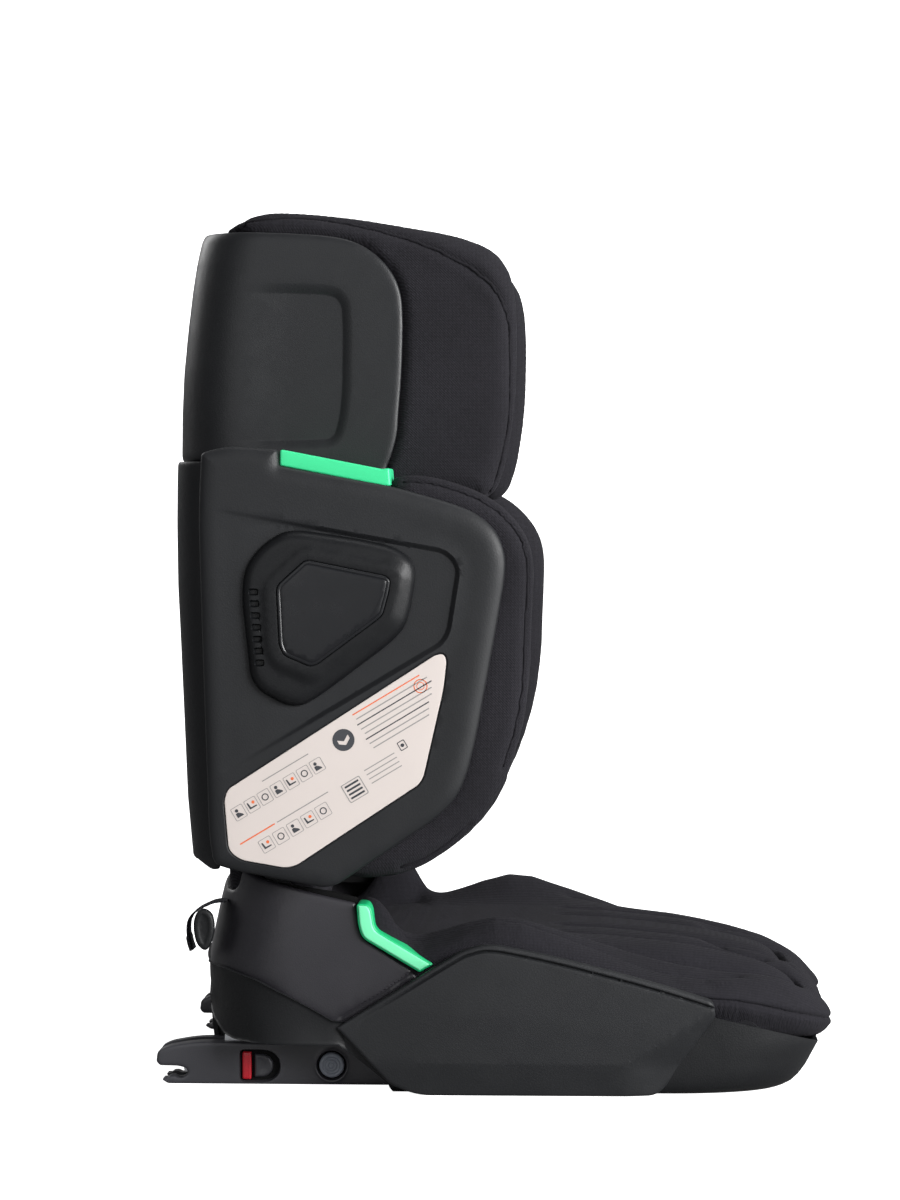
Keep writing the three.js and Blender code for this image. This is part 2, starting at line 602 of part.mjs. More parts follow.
function headrestLockBar() {
  const stem = box([-250.6, -248.4], [-8, 8], [LOCK_Z - 3, 584]);
  return stem.add(box([-257.6, -248.6], [-17, 17], [LOCK_Z - 1.6, LOCK_Z + 1.6]));
}

const headrestHandle = () => sweepY(roundCorners(
  [[-270.6, 588], [-257, 586], [-256, 602], [-260, 606], [-270, 603]], 3, 2), -44, 44, 1);

const shoulderBeltGuide = () => sweepY(roundCorners([
  [-189.4, 465.2], [-189, 477.7], [-114, 462.8], [-108.6, 461.8], [-109.6, 449.9],
  [-116, 451]], 2, 2), -196.2, -(HEAD_HALF + GAP), 1.2);

// ---------------------------------------------------------------- materials
const finish = (settings) => new THREE.MeshStandardMaterial(settings);
const materials = {
  shell: finish({ color: 0x2e2f31, roughness: 0.45 }),
  satin: finish({ color: 0x45454a, roughness: 0.38 }),
  fabric: finish({ color: 0x1d1c20, roughness: 0.95 }),
  mint: finish({ color: 0x45d795, roughness: 0.4 }),
  mintPale: finish({ color: 0x86e3b4, roughness: 0.4 }),
  label: finish({ color: 0xd9d7d4, roughness: 0.5 }),
  red: finish({ color: 0xc9303c, roughness: 0.4 }),
  button: finish({ color: 0x7d828e, roughness: 0.4 }),
  steel: finish({ color: 0xb9bcc0, roughness: 0.3, metalness: 1 }),
  foam: finish({ color: 0xe6e6e2, roughness: 0.9 }),
  webbing: finish({ color: 0x222225, roughness: 0.85 }),
  badge: finish({ color: 0x3a3b3f, roughness: 0.3 }),
};

// ---------------------------------------------------------------- assembly
const root = new THREE.Group();
root.name = 'booster_seat';

function put(name, body, material) {
  const { vertProperties, triVerts } = body.getMesh();
  const geometry = new THREE.BufferGeometry();
  geometry.setAttribute('position', new THREE.BufferAttribute(vertProperties, 3));
  geometry.setIndex(new THREE.BufferAttribute(triVerts, 1));
  geometry.computeVertexNormals();
  const mesh = new THREE.Mesh(geometry, material);
  mesh.name = name;
  root.add(mesh);
}

// Right is -Y: every handed piece is built on the right and mirrored.
function putPair(name, body, material) {
  put(`${name}_right`, body, material);
  put(`${name}_left`, flipY(body), material);
}

put('base_lower_shell', baseLowerShell(), materials.shell);
put('base_rear_collar', baseRearCollar(), materials.satin);
putPair('side_panel', sidePanel(), materials.shell);
putPair('lap_belt_guide', lapBeltGuide(), materials.mintPale);
put('seat_foam_core', seatFoamCore(), materials.foam);
put('seat_cushion', seatCushion(), materials.fabric);
putPair('recline_pin', reclinePin(), materials.steel);
putPair('isofix_housing', isofixHousing(), materials.satin);
putPair('isofix_latch_hook', isofixLatchHook(), materials.steel);
putPair('isofix_hook_pin', isofixHookPin(), materials.steel);
putPair('isofix_release_slider', isofixReleaseSlider(), materials.satin);
putPair('isofix_indicator', isofixIndicator(), materials.red);
putPair('isofix_adjust_button', isofixAdjustButton(), materials.button);
putPair('isofix_guide_rail', isofixGuideRail(), materials.steel);
put('release_strap', releaseStrap(), materials.webbing);
put('release_strap_paddle', releaseStrapPaddle(), materials.shell);
put('backrest_rear_shell', backrestRearShell(), materials.shell);
putPair('side_shield', sideShield(), materials.shell);
putPair('side_pod', sidePod(), materials.shell);
putPair('side_pod_badge', sidePodBadge(), materials.badge);
put('label_plate_right', labelPlate(), materials.label);
put('backrest_foam_core', backrestFoam(0), materials.foam);
put('backrest_cushion', backrestCushion(), materials.fabric);
putPair('recline_bracket', reclineBracket(), materials.steel);
put('headrest_rack', headrestRack(), materials.steel);
put('headrest_shell', headrestShell(), materials.shell);
put('headrest_foam_core', headrestFoam(0), materials.foam);
put('headrest_cushion', headrestCushion(), materials.fabric);
put('headrest_slider_fork', headrestSliderFork(), materials.steel);
put('headrest_lock_bar', headrestLockBar(), materials.steel);
put('headrest_handle', headrestHandle(), materials.satin);
putPair('shoulder_belt_guide', shoulderBeltGuide(), materials.mint);

export default root;
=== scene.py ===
# High-back booster seat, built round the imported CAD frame. Lengths below are millimetres unless a name says otherwise.
import bpy, bmesh, json, math
import numpy as np
from mathutils import Vector, Matrix
from mathutils.geometry import delaunay_2d_cdt


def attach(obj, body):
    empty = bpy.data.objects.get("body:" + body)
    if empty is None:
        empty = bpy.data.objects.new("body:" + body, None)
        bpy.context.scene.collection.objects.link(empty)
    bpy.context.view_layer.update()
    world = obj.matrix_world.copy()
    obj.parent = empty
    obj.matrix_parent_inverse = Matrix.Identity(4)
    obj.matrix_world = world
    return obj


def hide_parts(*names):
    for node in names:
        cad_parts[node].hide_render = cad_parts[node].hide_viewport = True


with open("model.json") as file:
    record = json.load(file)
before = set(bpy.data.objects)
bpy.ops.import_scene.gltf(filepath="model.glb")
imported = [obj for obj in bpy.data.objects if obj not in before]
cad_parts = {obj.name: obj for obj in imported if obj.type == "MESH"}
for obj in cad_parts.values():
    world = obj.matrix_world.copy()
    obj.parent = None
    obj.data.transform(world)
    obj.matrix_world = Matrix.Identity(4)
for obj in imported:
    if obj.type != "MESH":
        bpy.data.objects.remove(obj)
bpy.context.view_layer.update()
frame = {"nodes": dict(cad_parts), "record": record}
NODES = frame["nodes"]
MM = 0.001

# ------------------------------------------------------------------ small maths
def rp(pts, r=0.0, n=5):
    """Rounds the corners of a closed outline; a third number on a point is its own radius."""
    out = []
    N = len(pts)
    for i in range(N):
        a, p, b = np.array(pts[i - 1][:2], float), np.array(pts[i][:2], float), np.array(pts[(i + 1) % N][:2], float)
        rad = pts[i][2] if len(pts[i]) > 2 else r
        la, lb = np.linalg.norm(a - p), np.linalg.norm(b - p)
        t = min(rad, la * 0.49, lb * 0.49)
        if t < 0.05:
            out.append(tuple(p)); continue
        s, e = p + (a - p) * t / la, p + (b - p) * t / lb
        for k in range(n + 1):
            u = k / n
            out.append(tuple((1 - u) ** 2 * s + 2 * u * (1 - u) * p + u * u * e))
    return np.array(out)

def ccw(p):
    p = np.asarray(p, float)
    a = 0.5 * np.sum(p[:, 0] * np.roll(p[:, 1], -1) - np.roll(p[:, 0], -1) * p[:, 1])
    return p if a > 0 else p[::-1].copy()

def dense(p, step):
    out = []
    for i in range(len(p)):
        a, b = p[i], p[(i + 1) % len(p)]
        n = max(1, int(math.ceil(np.linalg.norm(b - a) / step)))
        for k in range(n):
            out.append(a + (b - a) * k / n)
    out = np.array(out)
    keep = [0]
    for i in range(1, len(out)):
        if np.linalg.norm(out[i] - out[keep[-1]]) > step * 0.12:
            keep.append(i)
    if np.linalg.norm(out[keep[-1]] - out[0]) < step * 0.12:
        keep.pop()
    return out[keep]

def segdist(P, A, B):
    d = np.full(len(P), 1e9)
    for i in range(len(A)):
        ab = B[i] - A[i]
        L = ab @ ab
        if L < 1e-12:
            continue
        t = np.clip(((P - A[i]) @ ab) / L, 0, 1)
        d = np.minimum(d, np.hypot(*(P - (A[i] + t[:, None] * ab)).T))
    return d

def inside(P, poly):
    x, y = P[:, 0], P[:, 1]
    c = np.zeros(len(P), bool)
    for i in range(len(poly)):
        x1, y1 = poly[i]; x2, y2 = poly[(i + 1) % len(poly)]
        if y1 == y2:
            continue
        hit = ((y1 > y) != (y2 > y)) & (x < (x2 - x1) * (y - y1) / (y2 - y1) + x1)
        c ^= hit
    return c

def sd(P, poly):
    """Distance to a closed outline, positive inside."""
    poly = np.asarray(poly, float)
    d = segdist(P, poly, np.roll(poly, -1, 0))
    return np.where(inside(P, poly), d, -d)

def linedist(P, line):
    line = np.asarray(line, float)
    return segdist(P, line[:-1], line[1:])

def ss(x, a, b):
    t = np.clip((x - a) / (b - a), 0, 1)
    return t * t * (3 - 2 * t)

def roll(d, R, depth):
    t = np.clip(d / R, 0, 1)
    return depth * (1 - np.sqrt(np.clip(1 - (1 - t) ** 2, 0, 1)))

def inset(poly, d):
    poly = np.asarray(poly, float)
    nx = np.roll(poly, -1, 0) - poly
    pv = poly - np.roll(poly, 1, 0)
    t = nx / np.maximum(np.linalg.norm(nx, axis=1), 1e-9)[:, None] + pv / np.maximum(np.linalg.norm(pv, axis=1), 1e-9)[:, None]
    t /= np.maximum(np.linalg.norm(t, axis=1), 1e-9)[:, None]
    nrm = np.stack([-t[:, 1], t[:, 0]], 1)
    q = poly + nrm * d
    ok = np.abs(sd(q, poly) - d) < 0.12 * abs(d) + 0.02
    return q, ok

def interp(table, x, col=1):
    t = np.array(table, float)
    return np.interp(x, t[:, 0], t[:, col])

def fbm(P, scale, seed=0, octaves=3):
    """Smooth value noise on points, about -1 to 1."""
    P = np.asarray(P, float) / scale
    out = np.zeros(len(P)); amp = 1.0; tot = 0
    for o in range(octaves):
        Q = P * (2 ** o) + seed * 17.31 + o * 5.7
        i = np.floor(Q).astype(int); f = Q - i; f = f * f * (3 - 2 * f)
        def h(ii):
            n = ii[:, 0] * 374761393 + ii[:, 1] * 668265263 + (ii[:, 2] * 2147483647 if ii.shape[1] > 2 else 0) + seed * 144665
            n = (n ^ (n >> 13)) * 1274126177
            return ((n ^ (n >> 16)) & 0xFFFF) / 32767.5 - 1
        dim = P.shape[1]
        acc = 0
        for c in range(2 ** dim):
            off = np.array([(c >> k) & 1 for k in range(dim)])
            w = np.prod(np.where(off, f, 1 - f), axis=1)
            acc = acc + w * h(i + off)
        out += amp * acc; tot += amp; amp *= 0.5
    return out / tot

# ------------------------------------------------------------------ mesh makers
def make(name, verts_mm, faces, body, mat, replaces=(), sharp=32, mirror=False):
    v = np.asarray(verts_mm, float) * MM
    f = [tuple(int(i) for i in q) for q in faces]
    if mirror:
        v = v * np.array([1, -1, 1])
        f = [q[::-1] for q in f]
    me = bpy.data.meshes.new(name)
    me.from_pydata([tuple(p) for p in v], [], f)
    me.validate()
    me.update()
    for p in me.polygons:
        p.use_smooth = True
    if sharp:
        me.set_sharp_from_angle(angle=math.radians(sharp))
    o = bpy.data.objects.new(name, me)
    bpy.context.scene.collection.objects.link(o)
    me.materials.append(MAT[mat])
    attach(o, body)
    if replaces:
        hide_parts(*replaces)
    return o

def sheet(outline, h_out, h_in, to3, grid=6.0, rings=(), feats=(), extra=None, holes=()):
    """A closed plate over a flat domain: an outer face at height h_out and an inner one at h_in, joined round the outline and the holes."""
    outline = ccw(outline)
    pts = [tuple(p) for p in outline]
    edges = [(i, (i + 1) % len(outline)) for i in range(len(outline))]
    for poly in holes:
        b = len(pts)
        pts += [tuple(p) for p in poly]
        edges += [(b + i, b + (i + 1) % len(poly)) for i in range(len(poly))]
    for poly in feats:
        poly = np.asarray(poly, float)
        b = len(pts)
        pts += [tuple(p) for p in poly]
        edges += [(b + i, b + (i + 1) % len(poly)) for i in range(len(poly))]
    loose = []
    for d in rings:
        q, ok = inset(outline, d)
        loose.append(q[ok])
    lo, hi = outline.min(0), outline.max(0)
    gx, gy = np.meshgrid(np.arange(lo[0] + grid * 0.4, hi[0], grid), np.arange(lo[1] + grid * 0.4, hi[1], grid * 0.92))
    gx = gx + (np.arange(gx.shape[0]) % 2)[:, None] * grid * 0.5
    G = np.stack([gx.ravel(), gy.ravel()], 1)
    m = (rings[-1] if len(rings) else 0) + grid * 0.35
    G = G[sd(G, outline) > m]
    loose.append(G)
    if extra is not None:
        E = np.asarray(extra, float)
        E = E[sd(E, outline) > 0.4]
        loose.append(E)
    for poly in holes:
        for d in rings:
            q, ok = inset(ccw(poly), -d)
            q = q[ok]
            loose.append(q[sd(q, outline) > 0.5])
    L = np.concatenate(loose) if loose else np.zeros((0, 2))
    for poly in holes:
        L = L[sd(L, poly) < -0.25]
    for poly in feats:
        poly = np.asarray(poly, float)
        d = segdist(L, poly, np.roll(poly, -1, 0))
        L = L[d > 0.35]
    pts += [tuple(p) for p in L]
    V, E, F, *_ = delaunay_2d_cdt([Vector(p) for p in pts], edges, [], 1, 1e-4)
    UV = np.array([(p[0], p[1]) for p in V])
    F = [list(f) for f in F]
    cen = UV[np.array(F)].mean(1)
    okc = inside(cen, outline)
    for poly in holes:
        okc &= ~inside(cen, np.asarray(poly, float))
    F = [f for f, k in zip(F, okc) if k]
    n = len(UV)
    top = to3(UV, h_out(UV))
    bot = to3(UV, h_in(UV))
    faces = [tuple(f) for f in F] + [(f[2] + n, f[1] + n, f[0] + n) for f in F]
    cnt = {}
    for f in F:
        for a, b in ((f[0], f[1]), (f[1], f[2]), (f[2], f[0])):
            cnt[(a, b)] = cnt.get((a, b), 0) + 1
    for (a, b) in list(cnt):
        if (b, a) not in cnt:
            faces.append((b, a, a + n, b + n))
    return np.concatenate([top, bot]), faces

def clean(o, dist=0.0002):
    bm = bmesh.new(); bm.from_mesh(o.data)
    bmesh.ops.remove_doubles(bm, verts=bm.verts, dist=dist)
    loose = [v for v in bm.verts if not v.link_faces]
    bmesh.ops.delete(bm, geom=loose, context="VERTS")
    bmesh.ops.recalc_face_normals(bm, faces=bm.faces)
    for f in bm.faces:
        f.smooth = True
    bm.to_mesh(o.data); bm.free()

to_side = lambda uv, h: np.stack([uv[:, 0], -h, uv[:, 1]], 1)      # right-hand side: height is the distance outwards
def const(v):
    return lambda uv: np.full(len(uv), float(v))

# ------------------------------------------------------------------ materials
def lin(c):
    return [((x / 12.92) if x <= 0.04045 else ((x + 0.055) / 1.055) ** 2.4) for x in c]
def hexc(h):
    return lin([int(h[i:i + 2], 16) / 255 for i in (0, 2, 4)])
MAT = {}
class NT:
    def __init__(self, name):
        self.m = bpy.data.materials.new(name); self.m.use_nodes = True
        self.t = self.m.node_tree; self.b = self.t.nodes["Principled BSDF"]
        MAT[name] = self.m
    def n(self, kind, **kw):
        x = self.t.nodes.new(kind)
        for k, v in kw.items():
            if k in x.inputs:
                x.inputs[k].default_value = v
            else:
                setattr(x, k, v)
        return x
    def l(self, a, b):
        self.t.links.new(a, b)
    def coord(self, scale=(1, 1, 1), rot=(0, 0, 0)):
        tc = self.n("ShaderNodeTexCoord")
        mp = self.n("ShaderNodeMapping")
        mp.inputs["Scale"].default_value = scale
        mp.inputs["Rotation"].default_value = rot
        self.l(tc.outputs["Object"], mp.inputs["Vector"])
        return mp.outputs["Vector"]
    def ramp(self, fac, stops):
        r = self.n("ShaderNodeValToRGB")
        e = r.color_ramp.elements
        e[0].position, e[0].color = stops[0][0], (*stops[0][1], 1)
        e[1].position, e[1].color = stops[-1][0], (*stops[-1][1], 1)
        for p, c in stops[1:-1]:
            x = e.new(p); x.color = (*c, 1)
        self.l(fac, r.inputs["Fac"])
        return r.outputs["Color"]
    def maprange(self, v, a, b, c, d):
        m = self.n("ShaderNodeMapRange")
        m.inputs["From Min"].default_value = a; m.inputs["From Max"].default_value = b
        m.inputs["To Min"].default_value = c; m.inputs["To Max"].default_value = d
        self.l(v, m.inputs["Value"])
        return m.outputs["Result"]
    def math(self, op, a, b=None):
        m = self.n("ShaderNodeMath"); m.operation = op
        for i, v in enumerate((a, b)):
            if v is None: continue
            if isinstance(v, (int, float)): m.inputs[i].default_value = v
            else: self.l(v, m.inputs[i])
        return m.outputs[0]
    def bump(self, height, strength, dist, normal=None):
        bp = self.n("ShaderNodeBump")
        bp.inputs["Strength"].default_value = strength
        bp.inputs["Distance"].default_value = dist
        self.l(height, bp.inputs["Height"])
        if normal is not None: self.l(normal, bp.inputs["Normal"])
        return bp.outputs["Normal"]

def plastic(name, col, rough=0.5, grain=0.25, gscale=1600, var=0.12, spec=0.5, edge=0.25, coat=0.0):
    t = NT(name)
    v = t.coord()
    big = t.n("ShaderNodeTexNoise", Scale=9.0, Detail=3.0); t.l(v, big.inputs["Vector"])
    c = np.array(hexc(col))
    colr = t.ramp(big.outputs["Fac"], [(0.3, c * (1 - var)), (0.7, np.minimum(c * (1 + var), 1))])
    # painted highlight: convex edges made lighter, from the geometry's pointiness
    geo = t.n("ShaderNodeNewGeometry")
    edge_highlight = t.maprange(geo.outputs["Pointiness"], 0.52, 0.62, 0.0, edge)
    mix = t.n("ShaderNodeMix", data_type="RGBA")
    t.l(edge_highlight, mix.inputs[0]); t.l(colr, mix.inputs[6])
    mix.inputs[7].default_value = (*np.minimum(c * 2.2 + 0.01, 1), 1)
    t.l(mix.outputs[2], t.b.inputs["Base Color"])
    fine = t.n("ShaderNodeTexNoise", Scale=float(gscale), Detail=2.0, Roughness=0.6); t.l(v, fine.inputs["Vector"])
    vor = t.n("ShaderNodeTexVoronoi", Scale=float(gscale) * 0.55); t.l(v, vor.inputs["Vector"])
    hh = t.math("ADD", fine.outputs["Fac"], vor.outputs["Distance"])
    t.l(t.bump(hh, grain, 0.0003), t.b.inputs["Normal"])
    mid = t.n("ShaderNodeTexNoise", Scale=60.0, Detail=4.0); t.l(v, mid.inputs["Vector"])
    t.l(t.maprange(mid.outputs["Fac"], 0.3, 0.7, rough - 0.05, rough + 0.06), t.b.inputs["Roughness"])
    t.b.inputs["Specular IOR Level"].default_value = spec
    if coat:
        t.b.inputs["Coat Weight"].default_value = coat
        t.b.inputs["Coat Roughness"].default_value = 0.15
    return t

def fabric(name, col, light, scale=900, bump=0.6, sheen=0.25, rot=0.0):
    t = NT(name)
    v = t.coord()
    # plain knit: two crossed waves give rows and loops, broken up by noise
    w1 = t.n("ShaderNodeTexWave", Scale=float(scale) * 0.35, Distortion=1.2, Detail=1.0)
    w1.bands_direction = "Z"; t.l(v, w1.inputs["Vector"]); w1.inputs["Detail Scale"].default_value = 2.0
    w2 = t.n("ShaderNodeTexWave", Scale=float(scale) * 0.35, Distortion=1.2, Detail=1.0)
    w2.bands_direction = "DIAGONAL"; t.l(v, w2.inputs["Vector"])
    w3 = t.n("ShaderNodeTexWave", Scale=float(scale) * 0.35, Distortion=1.0, Detail=1.0)
    w3.bands_direction = "X"; t.l(v, w3.inputs["Vector"])
    nz = t.n("ShaderNodeTexNoise", Scale=float(scale) * 1.2, Detail=2.0); t.l(v, nz.inputs["Vector"])
    h = t.math("ADD", t.math("MULTIPLY", w1.outputs["Fac"], w3.outputs["Fac"]), t.math("MULTIPLY", w2.outputs["Fac"], 0.5))
    h = t.math("ADD", h, t.math("MULTIPLY", nz.outputs["Fac"], 0.7))
    c, k = np.array(hexc(col)), np.array(hexc(light))
    colr = t.ramp(h, [(0.35, c * 0.75), (0.75, c), (1.15 if False else 1.0, k)])
    big = t.n("ShaderNodeTexNoise", Scale=14.0, Detail=4.0); t.l(v, big.inputs["Vector"])
    mix = t.n("ShaderNodeMix", data_type="RGBA", blend_type="MULTIPLY")
    mix.inputs[0].default_value = 1.0
    t.l(colr, mix.inputs[6])
    g = t.maprange(big.outputs["Fac"], 0.3, 0.7, 0.86, 1.12)
    t.l(g, mix.inputs[7])
    t.l(mix.outputs[2], t.b.inputs["Base Color"])
    t.b.inputs["Roughness"].default_value = 0.92
    t.b.inputs["Specular IOR Level"].default_value = 0.18
    t.b.inputs["Sheen Weight"].default_value = sheen
    t.b.inputs["Sheen Roughness"].default_value = 0.55
    t.b.inputs["Sheen Tint"].default_value = (*np.minimum(k * 3 + 0.05, 1), 1)
    soft = t.n("ShaderNodeTexNoise", Scale=55.0, Detail=3.0); t.l(v, soft.inputs["Vector"])
    n1 = t.bump(soft.outputs["Fac"], 0.12, 0.004)
    t.l(t.bump(h, bump, 0.0004, n1), t.b.inputs["Normal"])
    return t

plastic("shell_black", "161719", 0.46, 0.30, 1500, 0.10, 0.30)
plastic("head_black", "1b1c1e", 0.40, 0.22, 1700, 0.08, 0.34)
plastic("panel_black", "1b1c1e", 0.50, 0.20, 1300, 0.08, 0.30)
plastic("floor_black", "111214", 0.52, 0.25, 1500, 0.08, 0.28)
plastic("collar_satin", "262529", 0.36, 0.14, 1800, 0.06, 0.45)
plastic("arm_satin", "36363a", 0.36, 0.12, 1800, 0.06, 0.42)
plastic("pod_black", "0f1012", 0.42, 0.20, 1700, 0.08, 0.26)
plastic("badge_dark", "101114", 0.30, 0.06, 1700, 0.05, 0.36)
plastic("mint", "36c987", 0.36, 0.05, 1500, 0.05, 0.4, 0.15)
plastic("mint_pale", "6fd8a4", 0.36, 0.05, 1500, 0.05, 0.4, 0.15)
plastic("mint_deep", "12a567", 0.38, 0.05, 1500, 0.05, 0.4, 0.1)
plastic("red", "b81c2a", 0.30, 0.03, 1500, 0.05, 0.45, 0.1)
plastic("button_grey", "878c96", 0.34, 0.05, 1500, 0.05, 0.45, 0.15)
plastic("label_white", "c3bab5", 0.42, 0.04, 900, 0.02, 0.4, 0.0)
plastic("ink_dark", "3c3d41", 0.5, 0.02, 900, 0.02, 0.3, 0.0)
plastic("ink_soft", "8a8886", 0.5, 0.02, 900, 0.02, 0.3, 0.0)
plastic("ink_orange", "d0653a", 0.5, 0.02, 900, 0.02, 0.3, 0.0)
plastic("tag_white", "dededc", 0.7, 0.1, 900, 0.02, 0.3, 0.0)
plastic("foam_white", "17171a", 0.9, 0.5, 260, 0.03, 0.2, 0.0)
# near-black matte for painted shade: the plate in the gap behind the collar and the floors of the arm recesses
plastic("shade_black", "0a0a0b", 0.7, 0.1, 900, 0.02, 0.15, 0.0)
fabric("knit_black", "131215", "2a292e", 900, 0.55, 0.10)
# seat knit: the same black knit, darkened further as painted shade
fabric("knit_seat_shaded", "100f13", "232227", 900, 0.55, 0.10)
fabric("piping", "0f0e11", "222126", 1400, 0.5, 0.08)
fabric("thread", "1b1a1e", "36353b", 1400, 0.4, 0.1)
fabric("webbing", "161618", "343439", 500, 0.8, 0.1)
def steel(name):
    t = NT(name)
    v = t.coord(scale=(1, 1, 30))
    nz = t.n("ShaderNodeTexNoise", Scale=120.0, Detail=4.0); t.l(v, nz.inputs["Vector"])
    t.b.inputs["Metallic"].default_value = 1.0
    t.l(t.ramp(nz.outputs["Fac"], [(0.3, (0.42, 0.43, 0.45)), (0.7, (0.6, 0.61, 0.63))]), t.b.inputs["Base Color"])
    t.l(t.maprange(nz.outputs["Fac"], 0.3, 0.7, 0.25, 0.42), t.b.inputs["Roughness"])
    t.l(t.bump(nz.outputs["Fac"], 0.05, 0.0005), t.b.inputs["Normal"])
steel("steel")

# every carried-over CAD node gets a real material; most are then replaced by finer pieces
SLOT_MAT = {"shell_plastic": "shell_black", "satin_plastic": "collar_satin", "badge_gloss": "badge_dark", "cover_fabric": "knit_black", "mint_plastic": "mint",
            "pale_mint_plastic": "mint_pale", "label": "label_white", "red_plastic": "red", "button_plastic": "button_grey", "steel": "steel", "foam": "foam_white", "webbing": "webbing"}
for sp in frame["record"]["subparts"]:
    o = NODES[sp["node"]]
    o.data.materials.clear()
    o.data.materials.append(MAT["floor_black" if sp["node"].startswith("recline_bracket") else SLOT_MAT[sp["material_slot"]]])

def both(name, verts, faces, body, mat, nodes=(), sharp=32):
    """The right-hand piece and its mirror image; body and node names hold {s} for the side."""
    out = []
    for s, m in (("right", False), ("left", True)):
        out.append(make(name + "_" + s, verts, faces, body.format(s=s), mat, [n.format(s=s) for n in nodes], sharp, m))
    return out

# ------------------------------------------------------------------ soft goods kit
def join_parts(name, parts):
    """Several closed meshes in one object, ready for a voxel remesh that fuses them."""
    V, F, n = [], [], 0
    for v, f in parts:
        V.append(np.asarray(v, float)); F += [tuple(int(i) + n for i in q) for q in f]; n += len(v)
    me = bpy.data.meshes.new(name)
    me.from_pydata([tuple(p) for p in np.concatenate(V) * MM], [], F)
    me.update()
    o = bpy.data.objects.new(name, me)
    bpy.context.scene.collection.objects.link(o)
    return o

def coords(o):
    a = np.empty(len(o.data.vertices) * 3); o.data.vertices.foreach_get("co", a)
    return a.reshape(-1, 3)

def normals(o):
    o.data.update()
    a = np.empty(len(o.data.vertices) * 3); o.data.vertices.foreach_get("normal", a)
    return a.reshape(-1, 3)

def setco(o, a):
    o.data.vertices.foreach_set("co", np.asarray(a, float).ravel()); o.data.update()

def apply_all(o):
    dg = bpy.context.evaluated_depsgraph_get()
    me = bpy.data.meshes.new_from_object(o.evaluated_get(dg))
    old = o.data
    o.modifiers.clear(); o.data = me
    bpy.data.meshes.remove(old)

def neighbours(o):
    e = np.empty(len(o.data.edges) * 2, int); o.data.edges.foreach_get("vertices", e)
    return e.reshape(-1, 2)

def relax(o, times, w=0.5, keep=None):
    e = neighbours(o); c = coords(o); n = len(c)
    deg = np.bincount(e.ravel(), minlength=n).astype(float)
    k = np.ones(n) if keep is None else keep
    for i in range(times):
        acc = np.zeros_like(c)
        for ax in range(3):
            acc[:, ax] = np.bincount(e[:, 0], c[e[:, 1], ax], n) + np.bincount(e[:, 1], c[e[:, 0], ax], n)
        avg = acc / np.maximum(deg, 1)[:, None]
        c = c + (avg - c) * (w * k)[:, None]
    setco(o, c)

def biggest(o):
    """Keeps the outer skin only: the remesh can leave closed pockets inside."""
    e = neighbours(o); n = len(o.data.vertices)
    lab = np.arange(n)
    while True:
        m = np.minimum(lab[e[:, 0]], lab[e[:, 1]])
        new = lab.copy()
        np.minimum.at(new, e[:, 0], m); np.minimum.at(new, e[:, 1], m)
        new = new[new]
        if (new == lab).all(): break
        lab = new
    best = np.bincount(lab).argmax()
    if (lab == best).all(): return
    bm = bmesh.new(); bm.from_mesh(o.data); bm.verts.ensure_lookup_table()
    bmesh.ops.delete(bm, geom=[bm.verts[i] for i in np.nonzero(lab != best)[0]], context="VERTS")
    bm.to_mesh(o.data); bm.free()

def puff(o, voxel, cap, pressure=6.0, frames=20, smooth=3, pre=None, shrink=0.0):
    """Fuses and puffs a pad: voxel remesh, pressure cloth with no gravity, movement capped per point, one subdivision."""
    if voxel:
        m = o.modifiers.new("r", "REMESH"); m.mode = "VOXEL"; m.voxel_size = voxel * MM
        apply_all(o); biggest(o)
        relax(o, smooth)
    else:
        clean(o, 0.00002)
        relax(o, smooth)
    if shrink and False:
        setco(o, coords(o) - normals(o) * shrink * MM)
    if pre is not None:
        pre(o)
    c0 = coords(o)
    sc = bpy.context.scene
    m = o.modifiers.new("c", "CLOTH")
    st = m.settings
    st.quality = 5; st.mass = 0.25
    st.tension_stiffness = 12; st.compression_stiffness = 12; st.shear_stiffness = 5; st.bending_stiffness = 0.35
    st.use_pressure = True; st.uniform_pressure_force = pressure
    st.effector_weights.gravity = 0.0
    m.collision_settings.use_collision = False
    m.point_cache.frame_start = 1; m.point_cache.frame_end = frames + 2
    for f in range(1, frames + 1):
        sc.frame_set(f)
    dg = bpy.context.evaluated_depsgraph_get()
    ev = o.evaluated_get(dg)
    me = ev.to_mesh()
    a = np.empty(len(me.vertices) * 3); me.vertices.foreach_get("co", a); a = a.reshape(-1, 3)
    ev.to_mesh_clear()
    o.modifiers.clear()
    sc.frame_set(1)
    d = a - c0
    L = np.linalg.norm(d, axis=1)
    lim = cap(c0 / MM) * MM
    d *= np.minimum(1, lim / np.maximum(L, 1e-9))[:, None]
    # the cap can leave a step where it changes, so the movement is smoothed a little
    e = neighbours(o); n = len(c0)
    deg = np.bincount(e.ravel(), minlength=n).astype(float)
    for i in range(4):
        acc = np.zeros_like(d)
        for ax in range(3):
            acc[:, ax] = np.bincount(e[:, 0], d[e[:, 1], ax], n) + np.bincount(e[:, 1], d[e[:, 0], ax], n)
        d = d + (acc / np.maximum(deg, 1)[:, None] - d) * 0.5
    setco(o, c0 + d)
    s = o.modifiers.new("s", "SUBSURF"); s.levels = 1; s.render_levels = 1
    apply_all(o)

def curve3(pts, step=2.0):
    """A smooth curve through the points."""
    P = np.array(pts, float); out = []
    Q = np.vstack([2 * P[0] - P[1], P, 2 * P[-1] - P[-2]])
    for i in range(len(P) - 1):
        a, b, c, d = Q[i], Q[i + 1], Q[i + 2], Q[i + 3]
        n = max(2, int(np.linalg.norm(c - b) / step))
        for k in range(n):
            t = k / n
            out.append(0.5 * ((2 * b) + (-a + c) * t + (2 * a - 5 * b + 4 * c - d) * t * t + (-a + 3 * b - 3 * c + d) * t ** 3))
    out.append(P[-1])
    return np.array(out)

